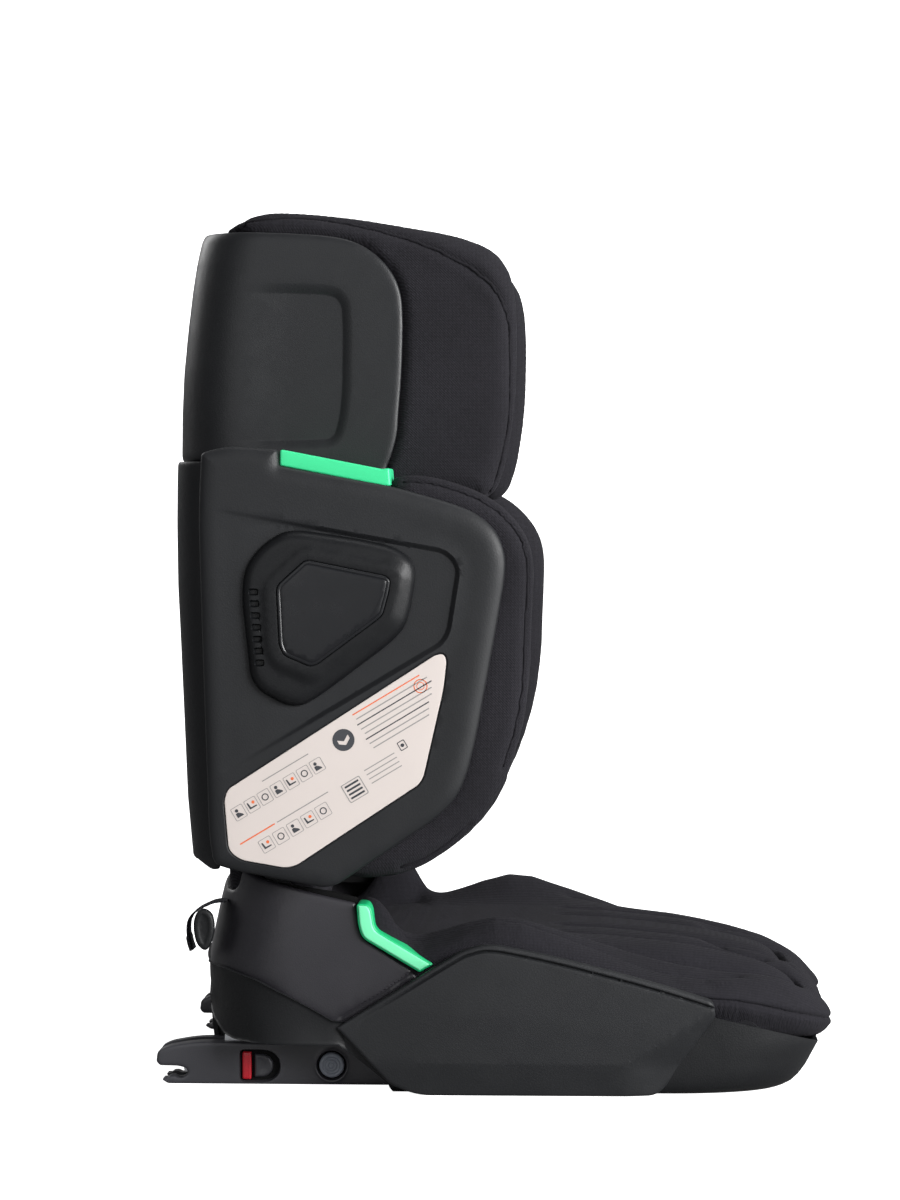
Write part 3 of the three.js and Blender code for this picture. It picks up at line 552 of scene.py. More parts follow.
from mathutils.kdtree import KDTree
from mathutils.bvhtree import BVHTree
def dist3(c, line):
    t = KDTree(len(line))
    for i, p in enumerate(line): t.insert(p, i)
    t.balance()
    return np.array([t.find(p)[2] for p in c])

def onto(o, line, push=None, proj=None):
    """Moves curve points (mm) onto the pad's skin: the nearest point, or along a direction."""
    bm = bmesh.new(); bm.from_mesh(o.data)
    tr = BVHTree.FromBMesh(bm)
    out = []
    for p in line:
        q = Vector(p) * MM
        if proj is not None:
            d = Vector(proj)
            hit = tr.ray_cast(q - d * 0.5, d)
            if hit[0] is None: hit = tr.find_nearest(q)
        else:
            hit = tr.find_nearest(q)
        out.append(np.array(hit[0]) / MM + np.array(hit[1]) * (push or 0.0))
    bm.free()
    return np.array(out)

def groove(o, lines, depth, width, swell=0.0, swellw=14.0):
    """A sewn channel along each curve, with the padding rising beside it."""
    c = coords(o); n = normals(o)
    for line in lines:
        d = dist3(c, line * MM) / MM
        c = c - n * ((depth * np.exp(-(d / width) ** 2) - swell * (np.exp(-((d - swellw) / (swellw * 0.5)) ** 2))) * MM)[:, None]
    setco(o, c)

def finish_soft(o, body, mat, nodes):
    for p in o.data.polygons: p.use_smooth = True
    o.data.materials.clear(); o.data.materials.append(MAT[mat])
    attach(o, body)
    if nodes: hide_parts(*nodes)
    return o

def tube(name, line, r, body, mat, sides=8, closed=False):
    """A cord along a curve (mm)."""
    P = np.asarray(line, float); n = len(P)
    T = np.gradient(P, axis=0)
    if closed:
        T = np.roll(P, -1, 0) - np.roll(P, 1, 0)
    T /= np.maximum(np.linalg.norm(T, axis=1), 1e-9)[:, None]
    up = np.array([0.13, 0.2, 0.97])
    V, F = [], []
    prev = None
    for i in range(n):
        a = np.cross(T[i], up if prev is None else prev)
        if prev is None or np.linalg.norm(a) < 1e-3:
            a = np.cross(T[i], up)
        b_ = np.cross(a, T[i]); b_ /= max(np.linalg.norm(b_), 1e-9)
        a = np.cross(T[i], b_); a /= max(np.linalg.norm(a), 1e-9)
        prev = b_
        rr = r if (closed or 0 < i < n - 1) else r * 0.6
        for k in range(sides):
            g = 2 * math.pi * k / sides
            V.append(P[i] + (a * math.cos(g) + b_ * math.sin(g)) * rr)
    for i in range(n if closed else n - 1):
        j = (i + 1) % n
        for k in range(sides):
            F.append((i * sides + k, i * sides + (k + 1) % sides, j * sides + (k + 1) % sides, j * sides + k))
    if not closed:
        F.append(tuple(range(sides))[::-1]); F.append(tuple((n - 1) * sides + k for k in range(sides)))
    o = make(name, V, F, body, mat, (), 0)
    clean(o, 0.00001)
    return o

def stitches(name, line, body, mat="thread", L=2.6, gap=1.6, r=0.32, slot="cover_fabric"):
    """A run of short raised stitches along a curve, in one mesh."""
    P = np.asarray(line, float)
    seg = np.linalg.norm(np.diff(P, axis=0), axis=1); S = np.concatenate([[0], np.cumsum(seg)])
    V, F = [], []
    s0 = 0.0
    while s0 + L < S[-1]:
        pts = [np.array([np.interp(s0 + L * t, S, P[:, k]) for k in range(3)]) for t in (0, 0.25, 0.5, 0.75, 1)]
        t = pts[-1] - pts[0]; t /= max(np.linalg.norm(t), 1e-9)
        a = np.cross(t, (0.3, 0.2, 0.93)); a /= max(np.linalg.norm(a), 1e-9); b = np.cross(a, t)
        base = len(V)
        for q, rr in zip(pts, (0.35, 0.9, 1.0, 0.9, 0.35)):
            for k in range(5):
                g = 2 * math.pi * k / 5
                V.append(q + (a * math.cos(g) + b * math.sin(g)) * r * rr)
        for i in range(4):
            for k in range(5):
                F.append((base + i * 5 + k, base + i * 5 + (k + 1) % 5, base + (i + 1) * 5 + (k + 1) % 5, base + (i + 1) * 5 + k))
        F.append(tuple(base + k for k in range(5))[::-1]); F.append(tuple(base + 20 + k for k in range(5)))
        s0 += L + gap
    o = make(name, V, F, body, mat, (), 0)
    clean(o, 0.000001)
    return o

# ------------------------------------------------------------------ side shields
SH = [(-247.4, 474, 3), (-243, 476, 6), (-226.6, 479.8, 9), (-190.6, 477.4, 2.5), (-189.9, 465.2, 2), (-151.5, 458.2, 6), (-105.4, 449.8, 12), (-66.1, 438.8, 16), (-45, 431, 20), (-29, 418, 20),
      (-22.2, 399, 20), (-23.3, 380, 20), (-30.5, 338.7, 30), (-44.3, 262.9, 30), (-51.2, 236.4, 20), (-59, 219, 20), (-76, 203, 20), (-100.6, 186.4, 20), (-147.9, 154.6, 5), (-157.2, 153.1, 4),
      (-223.1, 165.4, 12), (-238.6, 170.2, 6), (-241.9, 190, 14), (-246.9, 337, 30), (-249.6, 430, 20)]
shield = dense(ccw(rp(SH)), 3.0)
RECESS = ccw(rp([(-262, 437, 4), (-190, 424, 16), (-66.8, 402, 12), (-57, 391, 12), (-64.6, 342.8, 8), (-70, 334.2, 8), (-262, 219.6, 4)]))
RECESS = dense(RECESS, 3.0)
LABEL = ccw(rp([(-73.7, 326, 3), (-67.8, 326.8, 3), (-65.6, 321.7, 3), (-67.8, 301, 8), (-82.6, 236.1, 5), (-86, 230.2, 4), (-177.1, 169.8, 4), (-185.2, 168.2, 4), (-218.5, 174, 6), (-227, 181, 5), (-230.2, 218.9, 5), (-227.3, 226.3, 3)]))
LABEL = dense(LABEL, 2.5)
def h_shield(uv):
    d = sd(uv, shield)
    h = 207.0 - roll(d, 13, 5.5)
    h += -2.2 * ss((uv[:, 0] + 130) / 100, 0, 1.2) * 0 + 0.0
    r = sd(uv, RECESS)
    fade = ss(uv[:, 0], -236, -150) * 0.85 + ss(uv[:, 0], -240, -226) * 0.15
    h -= 3.3 * fade * ss(r, -2.2, 1.6)
    # a soft raised band along the front edge
    h -= 1.0 * ss(d, 16, 30) * ss(uv[:, 0], -110, -60) * (1 - ss(r, -12, -2))
    l = sd(uv, LABEL)
    h -= 0.7 * ss(l, -1.4, -0.4)
    return h
feats = []; loose_feat = []
for poly, offs in ((RECESS, (-2.2, -0.9, 0.3, 1.6)), (LABEL, (-1.4, -0.4))):
    for o_ in offs:
        q, ok = inset(poly, o_)
        q = q[ok]
        keep_ = sd(q, shield) > 1.2
        if keep_.all():
            feats.append(q)
        else:
            loose_feat.append(q[keep_])
V, F = sheet(shield, h_shield, const(198.0), to_side, 6.0, (0.35, 1.0, 2.0, 3.4, 5.2, 7.6, 10.4, 13), feats, np.concatenate(loose_feat) if loose_feat else None)
both("shield_panel", V, F, "backrest", "panel_black", ["side_shield_{s}"])

# ------------------------------------------------------------------ side pods
POD = ccw(rp([(-217.3, 366.6, 10), (-215.4, 390, 14), (-201.7, 407.4, 12), (-186, 416.9, 12), (-173.7, 417.7, 10), (-129.6, 411.3, 10), (-103.8, 405.4, 12), (-91, 396.5, 12), (-88.2, 384, 10), (-92.1, 359.8, 10), (-96.3, 346, 12), (-108, 333.8, 12), (-159.2, 295.4, 14), (-173, 287.4, 12), (-186, 288.8, 12), (-204, 298.6, 14), (-211, 309, 12), (-213, 329.8, 14)]))
POD = dense(POD, 2.2)
CAP = ccw(rp([(-170.2, 402.5, 6), (-104.8, 389.6, 7), (-99.6, 384.8, 7), (-101, 374, 6), (-106.2, 353.6, 6), (-110.8, 348.6, 5), (-159.7, 312.3, 6), (-166, 310.0, 6), (-191, 320.6, 7), (-195, 330.6, 7), (-197.4, 377.5, 7)]))
CAP = dense(CAP, 2.2)
BADGE = ccw(rp([(-169, 396.4, 4), (-110, 384.6, 5), (-106.2, 381.2, 5), (-107.2, 373, 4), (-112, 355.6, 4), (-115.6, 352, 4), (-160.4, 318.8, 4), (-166, 317.2, 4), (-185.6, 325.6, 5), (-188.8, 333, 5), (-191, 376.5, 5)]))
BADGE = dense(BADGE, 2.2)
SLOTS = [(-207.9 + (i * 0.75), 372.2 - i * 8.7) for i in range(7)]
def h_pod(uv):
    d = sd(uv, POD)
    h = 216.0 - roll(d, 9, 9.0)
    c = sd(uv, CAP)
    h -= 2.4 * (1 - ss(c, -7, 1.0))
    b = sd(uv, BADGE)
    h -= 1.2 * ss(b, -0.4, 0.4)
    for x, z in SLOTS:
        q = np.maximum(np.abs(uv[:, 0] - x) - 2.2, 0) ** 2 + np.maximum(np.abs(uv[:, 1] - z) - 1.0, 0) ** 2
        h -= 3.2 * (1 - ss(np.sqrt(q), 0.5, 1.6))
    return np.maximum(h, 204.4)
feats = []
for poly, offs in ((CAP, (-7, -3, 1)), (BADGE, (-1.0, -0.2, 0.2, 1.0))):
    for o_ in offs:
        q, ok = inset(poly, o_)
        feats.append(q[ok])
ex = []
for x, z in SLOTS:
    for r_ in (0.5, 1.1, 1.7):
        for a in np.linspace(0, 2 * np.pi, 21)[:-1]:
            ex.append((x + 2.2 * np.sign(np.cos(a)) * min(1, abs(np.cos(a)) * 1.6) + r_ * np.cos(a), z + 1.0 * np.sign(np.sin(a)) * min(1, abs(np.sin(a)) * 1.6) + r_ * np.sin(a)))
    ex += [(x, z), (x - 1.5, z), (x + 1.5, z)]
V, F = sheet(POD, h_pod, const(203.9), to_side, 4.0, (0.2, 0.7, 1.5, 2.6, 4, 5.6, 7.4), feats, ex)
both("pod_cover", V, F, "backrest", "pod_black", ["side_pod_{s}"])
BADGE_IN = inset(BADGE, 0.5)[0]
LINE_IN = inset(BADGE, 3.0)[0]
def h_badge(uv):
    h = 216.7 - roll(sd(uv, BADGE_IN), 1.6, 0.9)
    l = sd(uv, LINE_IN)
    h -= 0.45 * np.exp(-(l / 0.5) ** 2)
    # a gentle crown over the plate
    c = uv - np.array([-150.0, 360.0])
    return h + 0.5 * (1 - np.clip((c ** 2).sum(1) / 2600, 0, 1))
V, F = sheet(BADGE_IN, h_badge, const(215.2), to_side, 4.0, (0.2, 0.5, 0.9, 1.6), [inset(BADGE, o_)[0] for o_ in (2.3, 2.7, 3.0, 3.3, 3.7)])
both("pod_plate", V, F, "backrest", "badge_dark", ["side_pod_badge_{s}"])

# ------------------------------------------------------------------ label, with plain shapes for its content
V, F = sheet(inset(LABEL, 0.2)[0], lambda uv: 207.6 - roll(sd(uv, LABEL), 0.8, 0.4), const(206.8), to_side, 14.0, (0.3, 0.8))
make("label_plate", V, F, "backrest", "label_white", ["label_plate_right"], 40)
def label_to(uv, h):
    # label drawing axes: u along the long slope of the plate, v up from it
    a = math.radians(31.0)
    x = -229.0 + uv[:, 0] * math.cos(a) - uv[:, 1] * math.sin(a)
    z = 176.0 + uv[:, 0] * math.sin(a) + uv[:, 1] * math.cos(a)
    return np.stack([x, -h, z], 1)
def disc(cx, cy, r, n=28):
    return np.array([(cx + r * math.cos(t), cy + r * math.sin(t)) for t in np.linspace(0, 2 * math.pi, n + 1)[:-1]])
def rect(cx, cy, w, h, r=0.6):
    return rp([(cx - w / 2, cy - h / 2), (cx + w / 2, cy - h / 2), (cx + w / 2, cy + h / 2), (cx - w / 2, cy + h / 2)], r, 3)
def mark(name, solids, mat, up=0.0):
    V, F, n = [], [], 0
    for outline, holes in solids:
        v, f = sheet(outline, const(207.72 + up), const(207.45), label_to, 50.0, (), (), None, holes)
        V.append(v); F += [tuple(i + n for i in q) for q in f]; n += len(v)
    make(name, np.concatenate(V), F, "backrest", mat, (), 30)
dark, soft_, orange = [], [], []
def fits(o): return (sd(label_to(np.asarray(o), np.zeros(len(o)))[:, [0, 2]], LABEL) > 3.0).all()
def bar(lst, u0, v0, w, t=0.8):
    while w > 4:
        q = rect(u0 + w / 2, v0, w, t, 0.2)
        if fits(q): lst.append((q, [])); return
        w -= 2
# round mark with a plain tick-like hole
dark.append((disc(119.6, 29.6, 8.2), [ccw(rp([(115.2, 28.4), (119.4, 25.4), (124.4, 28.4), (124.4, 31.6), (119.4, 28.6), (115.2, 31.6)], 0.4, 2))[::-1]]))
# lines of plain bars
for i_ in range(9):
    bar(orange if i_ < 2 else (dark if i_ in (3, 6) else soft_), 134 + (i_ % 3) * 0.8, 46 - i_ * 4.1, 64 - 3.2 * abs(i_ - 3), 0.9)
bar(orange, 16, 34.2, 34, 1.0); bar(soft_, 52, 34.2, 40, 0.8)
bar(orange, 16, 31.4, 26, 0.8)
bar(orange, 14, 2.6, 30, 1.0); bar(soft_, 46, 2.6, 44, 0.8)
# two rows of small framed figures
def framed(cx, cy, w, h_, k):
    soft_.append((rect(cx, cy, w, h_, 1.2), [rect(cx, cy, w - 0.9, h_ - 0.9, 0.9)]))
    if k % 3 == 0:
        dark.append((disc(cx - 1, cy + 2.0, 1.3, 12), [])); dark.append((rp([(cx - 2.8, cy - 3.2), (cx + 2.6, cy - 3.2), (cx + 2.0, cy - 1.8), (cx - 0.6, cy + 0.4), (cx - 2.8, cy + 0.2)], 0.5, 3), []))
    elif k % 3 == 1:
        dark.append((rp([(cx - 3, cy - 2.4), (cx + 3, cy - 2.4), (cx + 3, cy - 1.4), (cx - 1.6, cy - 1.2), (cx - 2.2, cy + 2.8), (cx - 3.2, cy + 2.8)], 0.3, 2), [])); orange.append((disc(cx + 1.6, cy + 1.4, 1.2, 12), []))
    else:
        dark.append((disc(cx, cy, 2.7, 18), [disc(cx, cy, 1.9, 18)]))
for k_ in range(7):
    framed(25.5 + k_ * 11.3, 23.2, 9.6, 10.4, k_)
for k_ in range(5):
    framed(31 + k_ * 12.2, -7.6, 10.2, 10.4, k_ + 1)
# a hatched square, and a small ring in the far corner
soft_.append((rect(108, -6, 16, 15, 1.4), [rect(108, -6, 14.6, 13.6, 1.0)]))
for k_ in range(4):
    dark.append((rect(108, -10.6 + 3.1 * k_, 11.6, 1.5, 0.3), []))
for k_ in range(4):
    bar(soft_, 121, 2.2 - 3.6 * k_, 26, 0.8)
dark.append((rect(155, 4.0, 6, 7, 1), [rect(155, 4.0, 4.8, 5.8, 0.7)])); dark.append((disc(155, 4, 1.4, 12), []))
orange.append((disc(189, 34.5, 5.2, 26), [disc(189, 34.5, 4.5, 26)])); orange.append((disc(189, 34.5, 3.0, 20), [disc(189, 34.5, 2.5, 20)]))
ok_ = lambda o: (sd(label_to(np.asarray(o), np.zeros(len(o)))[:, [0, 2]], LABEL) > 1.5).all()
for nm, lst, mt in (("label_marks_dark", dark, "ink_dark"), ("label_marks_soft", soft_, "ink_soft"), ("label_marks_orange", orange, "ink_orange")):
    lst = [q for q in lst if ok_(q[0])]
    if lst: mark(nm, lst, mt)

# ------------------------------------------------------------------ U-shaped mouldings: collar, back shell, headrest shell
class U:
    """A surface wrapped round the back: u runs along the plan outline from the middle of the back, positive towards the right side, v is height."""
    def __init__(self, rows, r, bow=0.0):
        self.rows = np.array(rows, float); self.r = r; self.bow = bow
        self.W = self.rows[:, 2].max() - r
        self.A = r * math.pi / 2
    def u_of(self, x, z):
        x0 = np.interp(z, self.rows[:, 0], self.rows[:, 1])
        return self.W + self.A + (x - x0 - self.r - self.bow)
    def to3(self, uv, h):
        u, z = uv[:, 0], uv[:, 1]
        x0 = np.interp(z, self.rows[:, 0], self.rows[:, 1]); hw = np.interp(z, self.rows[:, 0], self.rows[:, 2])
        s, sg = np.abs(u), np.where(u >= 0, -1.0, 1.0)
        r = self.r
        a = np.clip((s - self.W) / r, 0, math.pi / 2)
        onback = s < self.W
        side = s > self.W + self.A
        nx, ny = -np.cos(a), np.sin(a)
        px = np.where(onback, x0, np.where(side, x0 + r + (s - self.W - self.A), x0 + r - r * np.cos(a)))
        px = px + self.bow * np.clip(s / self.W, 0, 1) ** 2
        k = (hw - r) / self.W
        py = np.where(onback, s * k, (hw - r) + r * np.sin(a))
        return np.stack([px + nx * h, sg * (py + ny * h) * -1 * -1, z], 1)

def side_outline(U_, pts, r=0, mirror=True, n=5):
    """A side-view outline open at the back, joined to its mirror image across the back: pts go from the top at the back, forward, and back along the bottom."""
    p = rp_open(pts, r, n)
    right = [(float(U_.u_of(x, z)), z) for x, z in p]
    left = [(-u, z) for u, z in right[::-1]]
    return ccw(np.array(right + left))

def rp_open(pts, r=0.0, n=5):
    out = [tuple(pts[0][:2])]
    for i in range(1, len(pts) - 1):
        a, p, b = (np.array(q[:2], float) for q in (pts[i - 1], pts[i], pts[i + 1]))
        rad = pts[i][2] if len(pts[i]) > 2 else r
        la, lb = np.linalg.norm(a - p), np.linalg.norm(b - p)
        t = min(rad, la * 0.49, lb * 0.49)
        if t < 0.05:
            out.append(tuple(p)); continue
        s, e = p + (a - p) * t / la, p + (b - p) * t / lb
        for k in range(n + 1):
            u = k / n
            out.append(tuple((1 - u) ** 2 * s + 2 * u * (1 - u) * p + u * u * e))
    out.append(tuple(pts[-1][:2]))
    return out

def u_columns(U_, outline, zs, step=4.0):
    """Points along the bends, so that the corners come out round."""
    ex = []
    for s in (1, -1):
        for a in np.arange(0, U_.A + 1, step):
            for z in zs:
                ex.append((s * (U_.W + a), z))
    return ex

COL = U([[40, -255, 193], [76, -256.5, 193], [82, -258.8, 193], [88, -259.2, 193], [96, -258.0, 193], [104.5, -256.2, 193], [122, -252.4, 192.6], [136, -249.4, 192], [150, -245.6, 191], [175, -240, 189]], 70, 9)
colpts = [(-252, 145.8), (-242.6, 146, 3), (-235.8, 150, 3), (-233.2, 160, 2.5), (-230.6, 163.1, 2.5), (-209, 156.9, 20), (-183.4, 151.9, 20), (-157.8, 145.6, 10), (-134.6, 140.6, 1.5), (-131.6, 121, 5), (-128.3, 114, 3), (-92, 90.6, 1.5), (-88.2, 85.4, 1.5), (-148.6, 47.6, 3), (-175, 62.3, 12), (-200.5, 75.9, 14), (-226, 83.4, 10), (-240, 82, 6), (-252, 81.6)]
col = dense(side_outline(COL, colpts), 3.5)
def h_col(uv):
    d = sd(uv, col)
    h = 0.0 - roll(d, 3.4, 1.5)
    q = np.abs(uv[:, 0])
    l = segdist(np.stack([q, uv[:, 1]], 1), CRA, CRB)
    on = ss(q, COLF, COLF + 8)
    # a narrow raised rim along the edge next to the side panel
    h += on * (0.9 * (1 - ss(l, 3.4, 4.4)) - 0.8 * np.exp(-((l - 5.2) / 0.7) ** 2))
    return h
CRA = np.array([[float(COL.u_of(-147.6, 48.4)), 48.4]]); CRB = np.array([[float(COL.u_of(-88.4, 86.0)), 86.0]])
COLF = float(COL.u_of(-150, 50))
_t = (CRB - CRA)[0] / np.linalg.norm(CRB - CRA); _n = np.array([-_t[1], _t[0]])
crim = [tuple(CRA[0] + _t * a_ + _n * o_ * 1.0) for a_ in np.arange(0, float(np.linalg.norm(CRB - CRA)), 3.5) for o_ in (2.6, 3.4, 3.9, 4.4, 4.9, 5.2, 5.6, 6.2)]
crim = crim + [(-a_, b_) for a_, b_ in crim]
V, F = sheet(col, h_col, const(-3.4), COL.to3, 8.0, (0.3, 0.9, 1.8, 3.2, 5), (), u_columns(COL, col, np.arange(84, 160, 7), 6) + crim)
make("collar_wrap", V, F, "base", "collar_satin", ["base_rear_collar"])

BK = U([[156, -247.5, 191], [162, -251.5, 192], [168, -256, 193.5], [174, -258.6, 194.5], [218, -262.3, 196.4], [276, -264.7, 196.8], [333, -267.2, 196.8], [377, -269.3, 196.8], [422, -269.9, 196.8], [454, -269.6, 196.8], [470, -269.2, 196.4]], 34)
bkpts = [(-268, 468.4), (-240, 468.4, 2), (-236.6, 465, 3), (-236.6, 170, 3), (-239, 165, 3), (-245, 164, 4), (-254, 168.5, 5), (-262, 171)]
bk = dense(side_outline(BK, bkpts), 5.0)
def h_bk(uv):
    d = sd(uv, bk)
    h = 0.0 - roll(d, 3, 1.4)
    # shallow moulded panel and ribs across the back
    q = np.array([(-112, 196), (112, 196), (126, 300), (112, 440), (-112, 440), (-126, 300)], float)
    r = sd(uv, q)
    h -= 2.4 * ss(r, -2.5, 2.5)
    for k in range(4):
        h += 1.3 * (1 - ss(np.abs(uv[:, 1] - (238 + 44 * k)), 2.5, 5.0)) * ss(r, 8, 14)
    return h
q_ = np.array([(-112, 196), (112, 196), (126, 300), (112, 440), (-112, 440), (-126, 300)], float)
feats = [dense(inset(dense(ccw(q_), 4), o_)[0], 4) for o_ in (-2.5, 2.5)]
ex = u_columns(BK, bk, np.arange(176, 460, 8), 4)
for k in range(4):
    for dz in (-5, -2.5, 0, 2.5, 5):
        ex += [(x, 238 + 44 * k + dz) for x in np.arange(-118, 119, 4)]
V, F = sheet(bk, h_bk, const(-4), BK.to3, 9.0, (0.4, 1.2, 2.4, 4, 6), feats, ex)
make("back_shell", V, F, "backrest", "shell_black", ["backrest_rear_shell"])

HD = U([[430, -279.6, 152], [472, -279.6, 152], [504, -279.3, 152], [536, -277.9, 152], [568, -274.8, 152], [600, -270.9, 152], [621, -267.6, 151.8], [634, -264.6, 151.3], [643, -262, 150.6]], 52, 6)
hdpts = [(-252, 641.6), (-225, 641.6, 8), (-189, 640.6, 10), (-161, 638.8, 10), (-144, 636.0, 10), (-130.7, 630.8, 10), (-117.0, 620.6, 8), (-107.0, 607.3, 8), (-102.2, 593, 8), (-101.2, 573, 10), (-102.2, 535.3, 14), (-105.8, 488, 12), (-110.2, 472.8, 8), (-114.7, 462.4, 6), (-113.4, 446, 3), (-232, 445, 3), (-236, 468.6, 4), (-262, 469)]
hd = dense(side_outline(HD, hdpts), 3.5)
RECH = [(-262, 604), (-183.7, 603.6, 10), (-158, 602.6, 8), (-146.6, 599.6, 10), (-139.3, 589.5, 10), (-138.2, 567.4, 20), (-138.8, 522.2, 20), (-141.2, 499.7, 14), (-145.6, 484.6, 8), (-153.6, 478.0, 8), (-175, 476.6, 8), (-262, 476)]
def rec_u(sg):
    q = [(sg * float(HD.u_of(a, b)), b) for a, b in rp_open(RECH, 0, 5)]
    return dense(ccw(np.array(q)), 3.0)
REC_R, REC_L = rec_u(1), rec_u(-1)
def h_hd(uv):
    d = sd(uv, hd)
    h = 0.0 - roll(d, 6, 2.0)
    u_ = np.abs(uv[:, 0])
    r = np.maximum(sd(uv, REC_R), sd(uv, REC_L))
    # the face inside the line stands lower: soft at its outer edge, crisp at the inner one, fading out towards the back
    fade = ss(u_, float(HD.u_of(-232, 560)), float(HD.u_of(-182, 560)))
    h -= 3.4 * np.clip(r / 8.2, 0, 1) ** 1.5 * fade
    return h
ex = u_columns(HD, hd, np.arange(474, 640, 8), 5)
for Q_ in (REC_R, REC_L):
    for o_ in (0.2, 1.2, 2.6, 4.2, 5.8, 7.2, 8.0, 8.4, 9.4):
        q, ok = inset(Q_, o_)
        q = q[ok]
        ex += [tuple(w) for w in q[np.abs(q[:, 0]) > float(HD.u_of(-246, 560))]]
HOLE = dense(rp([(-48, 580, 10), (48, 580, 10), (48, 622, 10), (-48, 622, 10)]), 4.0)
_h0 = h_hd
def h_hd2(uv):
    e_ = -sd(uv, HOLE)
    return np.minimum(_h0(uv), 0.0) - roll(np.maximum(e_, 0), 5, 2.4)
ex = [q for q in ex]
V, F = sheet(hd, h_hd2, const(-5), HD.to3, 8.0, (0.3, 0.9, 1.8, 3.2, 5, 7), (), ex, [HOLE])
make("head_shell", V, F, "headrest", "head_black", ["headrest_shell"])

# ------------------------------------------------------------------ shoulder belt guides (mint)
STRIP = dense(ccw(rp([(-189.4, 465.4, 1.5), (-189.2, 477.4, 2.5), (-114, 462.8, 2), (-108.4, 463.4, 1.4), (-107.4, 450.4, 1.4), (-113, 450.6, 1)])), 2.0)
V, F = sheet(STRIP, lambda uv: 200.6 - roll(sd(uv, STRIP), 1.6, 1.2), const(153.6), to_side, 8.0, (0.15, 0.5, 1.0, 1.6))
both("shoulder_guide", V, F, "headrest", "mint", ["shoulder_belt_guide_{s}"])

# ------------------------------------------------------------------ lap belt guides (pale mint with a deeper rim)
# a near-black plate inside the gap between collar and shield: painted shade, so that no light shows through
GAP_SHADE_PLATE = dense(ccw(np.array([(-204, 118), (-206, 155.5), (-200, 154.5), (-178, 151.5), (-150, 147), (-134, 143), (-134, 118)])), 8.0)
V, F = sheet(GAP_SHADE_PLATE, const(174.8), const(172.4), to_side, 12.0, (0.4,))
both("collar_gap_shade", V, F, "base", "shade_black")
CHEV = dense(ccw(rp([(-133.2, 140.6, 2.5), (-125.0, 140.6, 3), (-121.9, 136.8, 5), (-119.6, 123.4, 6), (-116.4, 119.8, 8), (-76, 96, 1.6), (-86.2, 89.9, 1.6), (-128.8, 115.2, 9), (-131.8, 124, 8)])), 2.0)
V, F = sheet(CHEV, lambda uv: 197.2 - roll(sd(uv, CHEV), 1.4, 1.0), const(168), to_side, 6.0, (0.15, 0.5, 0.9, 1.4))
both("lap_guide", V, F, "base", "mint_deep", ["lap_belt_guide_{s}"])
CHEV_IN = inset(CHEV, 1.35)[0]
V, F = sheet(CHEV_IN, lambda uv: 198.0 - roll(sd(uv, CHEV_IN), 1.3, 0.8), const(196.6), to_side, 6.0, (0.15, 0.5, 0.9, 1.3))
both("lap_guide_face", V, F, "base", "mint_pale")

# ------------------------------------------------------------------ side panels
PANEL = dense(ccw(rp([(-147.2, 49.4, 1), (-74.9, 94.9, 30), (-54.7, 106.9, 20), (-45, 110, 16), (-37.3, 111.5, 16), (-26.5, 110.9, 20), (8.1, 104.3, 30), (51.1, 93.8, 30), (94.2, 82.3, 30), (128.5, 71.8, 3), (131.6, 68.4, 3), (132.4, 60, 3), (95, 5.6, 6), (87.8, 0.6, 6), (-87, 0.15, 20), (-107.4, 7.8, 4)])), 2.6)
PTOP = np.array([(-147.2, 49.4), (-74.9, 94.9), (-54.7, 106.9), (-45, 110), (-37.3, 111.5), (-26.5, 110.9), (8.1, 104.3), (51.1, 93.8), (94.2, 82.3), (131.6, 70.6)])
PTOPS = rp_open([(-147.2, 49.4), (-74.9, 94.9, 30), (-54.7, 106.9, 20), (-45, 110, 16), (-37.3, 111.5, 16), (-26.5, 110.9, 20), (8.1, 104.3, 30), (51.1, 93.8, 30), (94.2, 82.3, 30), (134, 69.9)], 0, 6)
def h_panel(uv):
    x, z = uv[:, 0], uv[:, 1]
    d = sd(uv, PANEL)
    top = linedist(uv, PTOPS)
    h = np.full(len(uv), 211.6)
    # facets: under the lower break line, ahead of the front break line, and a soft lean-in towards the top
    h -= 4.2 * np.clip((24.5 - z) / 24, 0, 1) * (1 - 0.0 * x)
    low_ = np.maximum(23.5 - z, 0)
    fr = np.maximum(x - (66 + np.maximum(z - 23.5, 0) * 1.57), 0)
    h -= np.minimum(0.262 * fr * (1 - 0.35 * (1 - ss(fr, 0, 30)) * ss(low_, 0, 6)), 10.6)
    up = np.clip((z - (58 - 0.10 * (x + 40))) / 52, 0, 1)
    h -= 3.2 * up ** 1.3
    rear = np.clip((-60 - x + (z - 50) * 0.5) / 70, 0, 1)
    h -= 5.5 * rear ** 1.3
    # lip along the top edge, with a thin groove under it
    h -= 1.5 * np.exp(-((top - 4.3) / 0.75) ** 2) * ss(x, -140, -70)
    h += 0.8 * (1 - ss(top, 2.4, 3.8)) * ss(x, -140, -70)
    h -= roll(d, 2.4, 1.5) * (0.4 + 0.6 * ss(z, 1.5, 9))
    return np.maximum(h, 197.9)
prow = []
for o_ in (0.9, 1.7, 2.5, 3.1, 3.7, 4.3, 4.9, 5.5, 6.4, 8, 11):
    q = curve3(PTOPS, 3.0) if False else np.array(PTOPS)
    q = dense(q, 3.0)[:-1]
    t = np.gradient(q, axis=0); t /= np.maximum(np.linalg.norm(t, axis=1), 1e-9)[:, None]
    prow.append(q + np.stack([t[:, 1], -t[:, 0]], 1) * o_)
prow.append(np.array([(66 + (z_ - 23.5) * 1.57 + o_, z_) for z_ in np.arange(2, 66, 4) for o_ in (-1, 0, 1)]))
prow.append(np.array([(x_, 24.5 + o_) for x_ in np.arange(-86, 68, 5) for o_ in (-0.8, 0, 0.8)]))
prow = np.concatenate(prow)
V, F = sheet(PANEL, h_panel, const(197.2), to_side, 6.0, (0.25, 0.7, 1.3, 2.0, 2.8), (), prow)
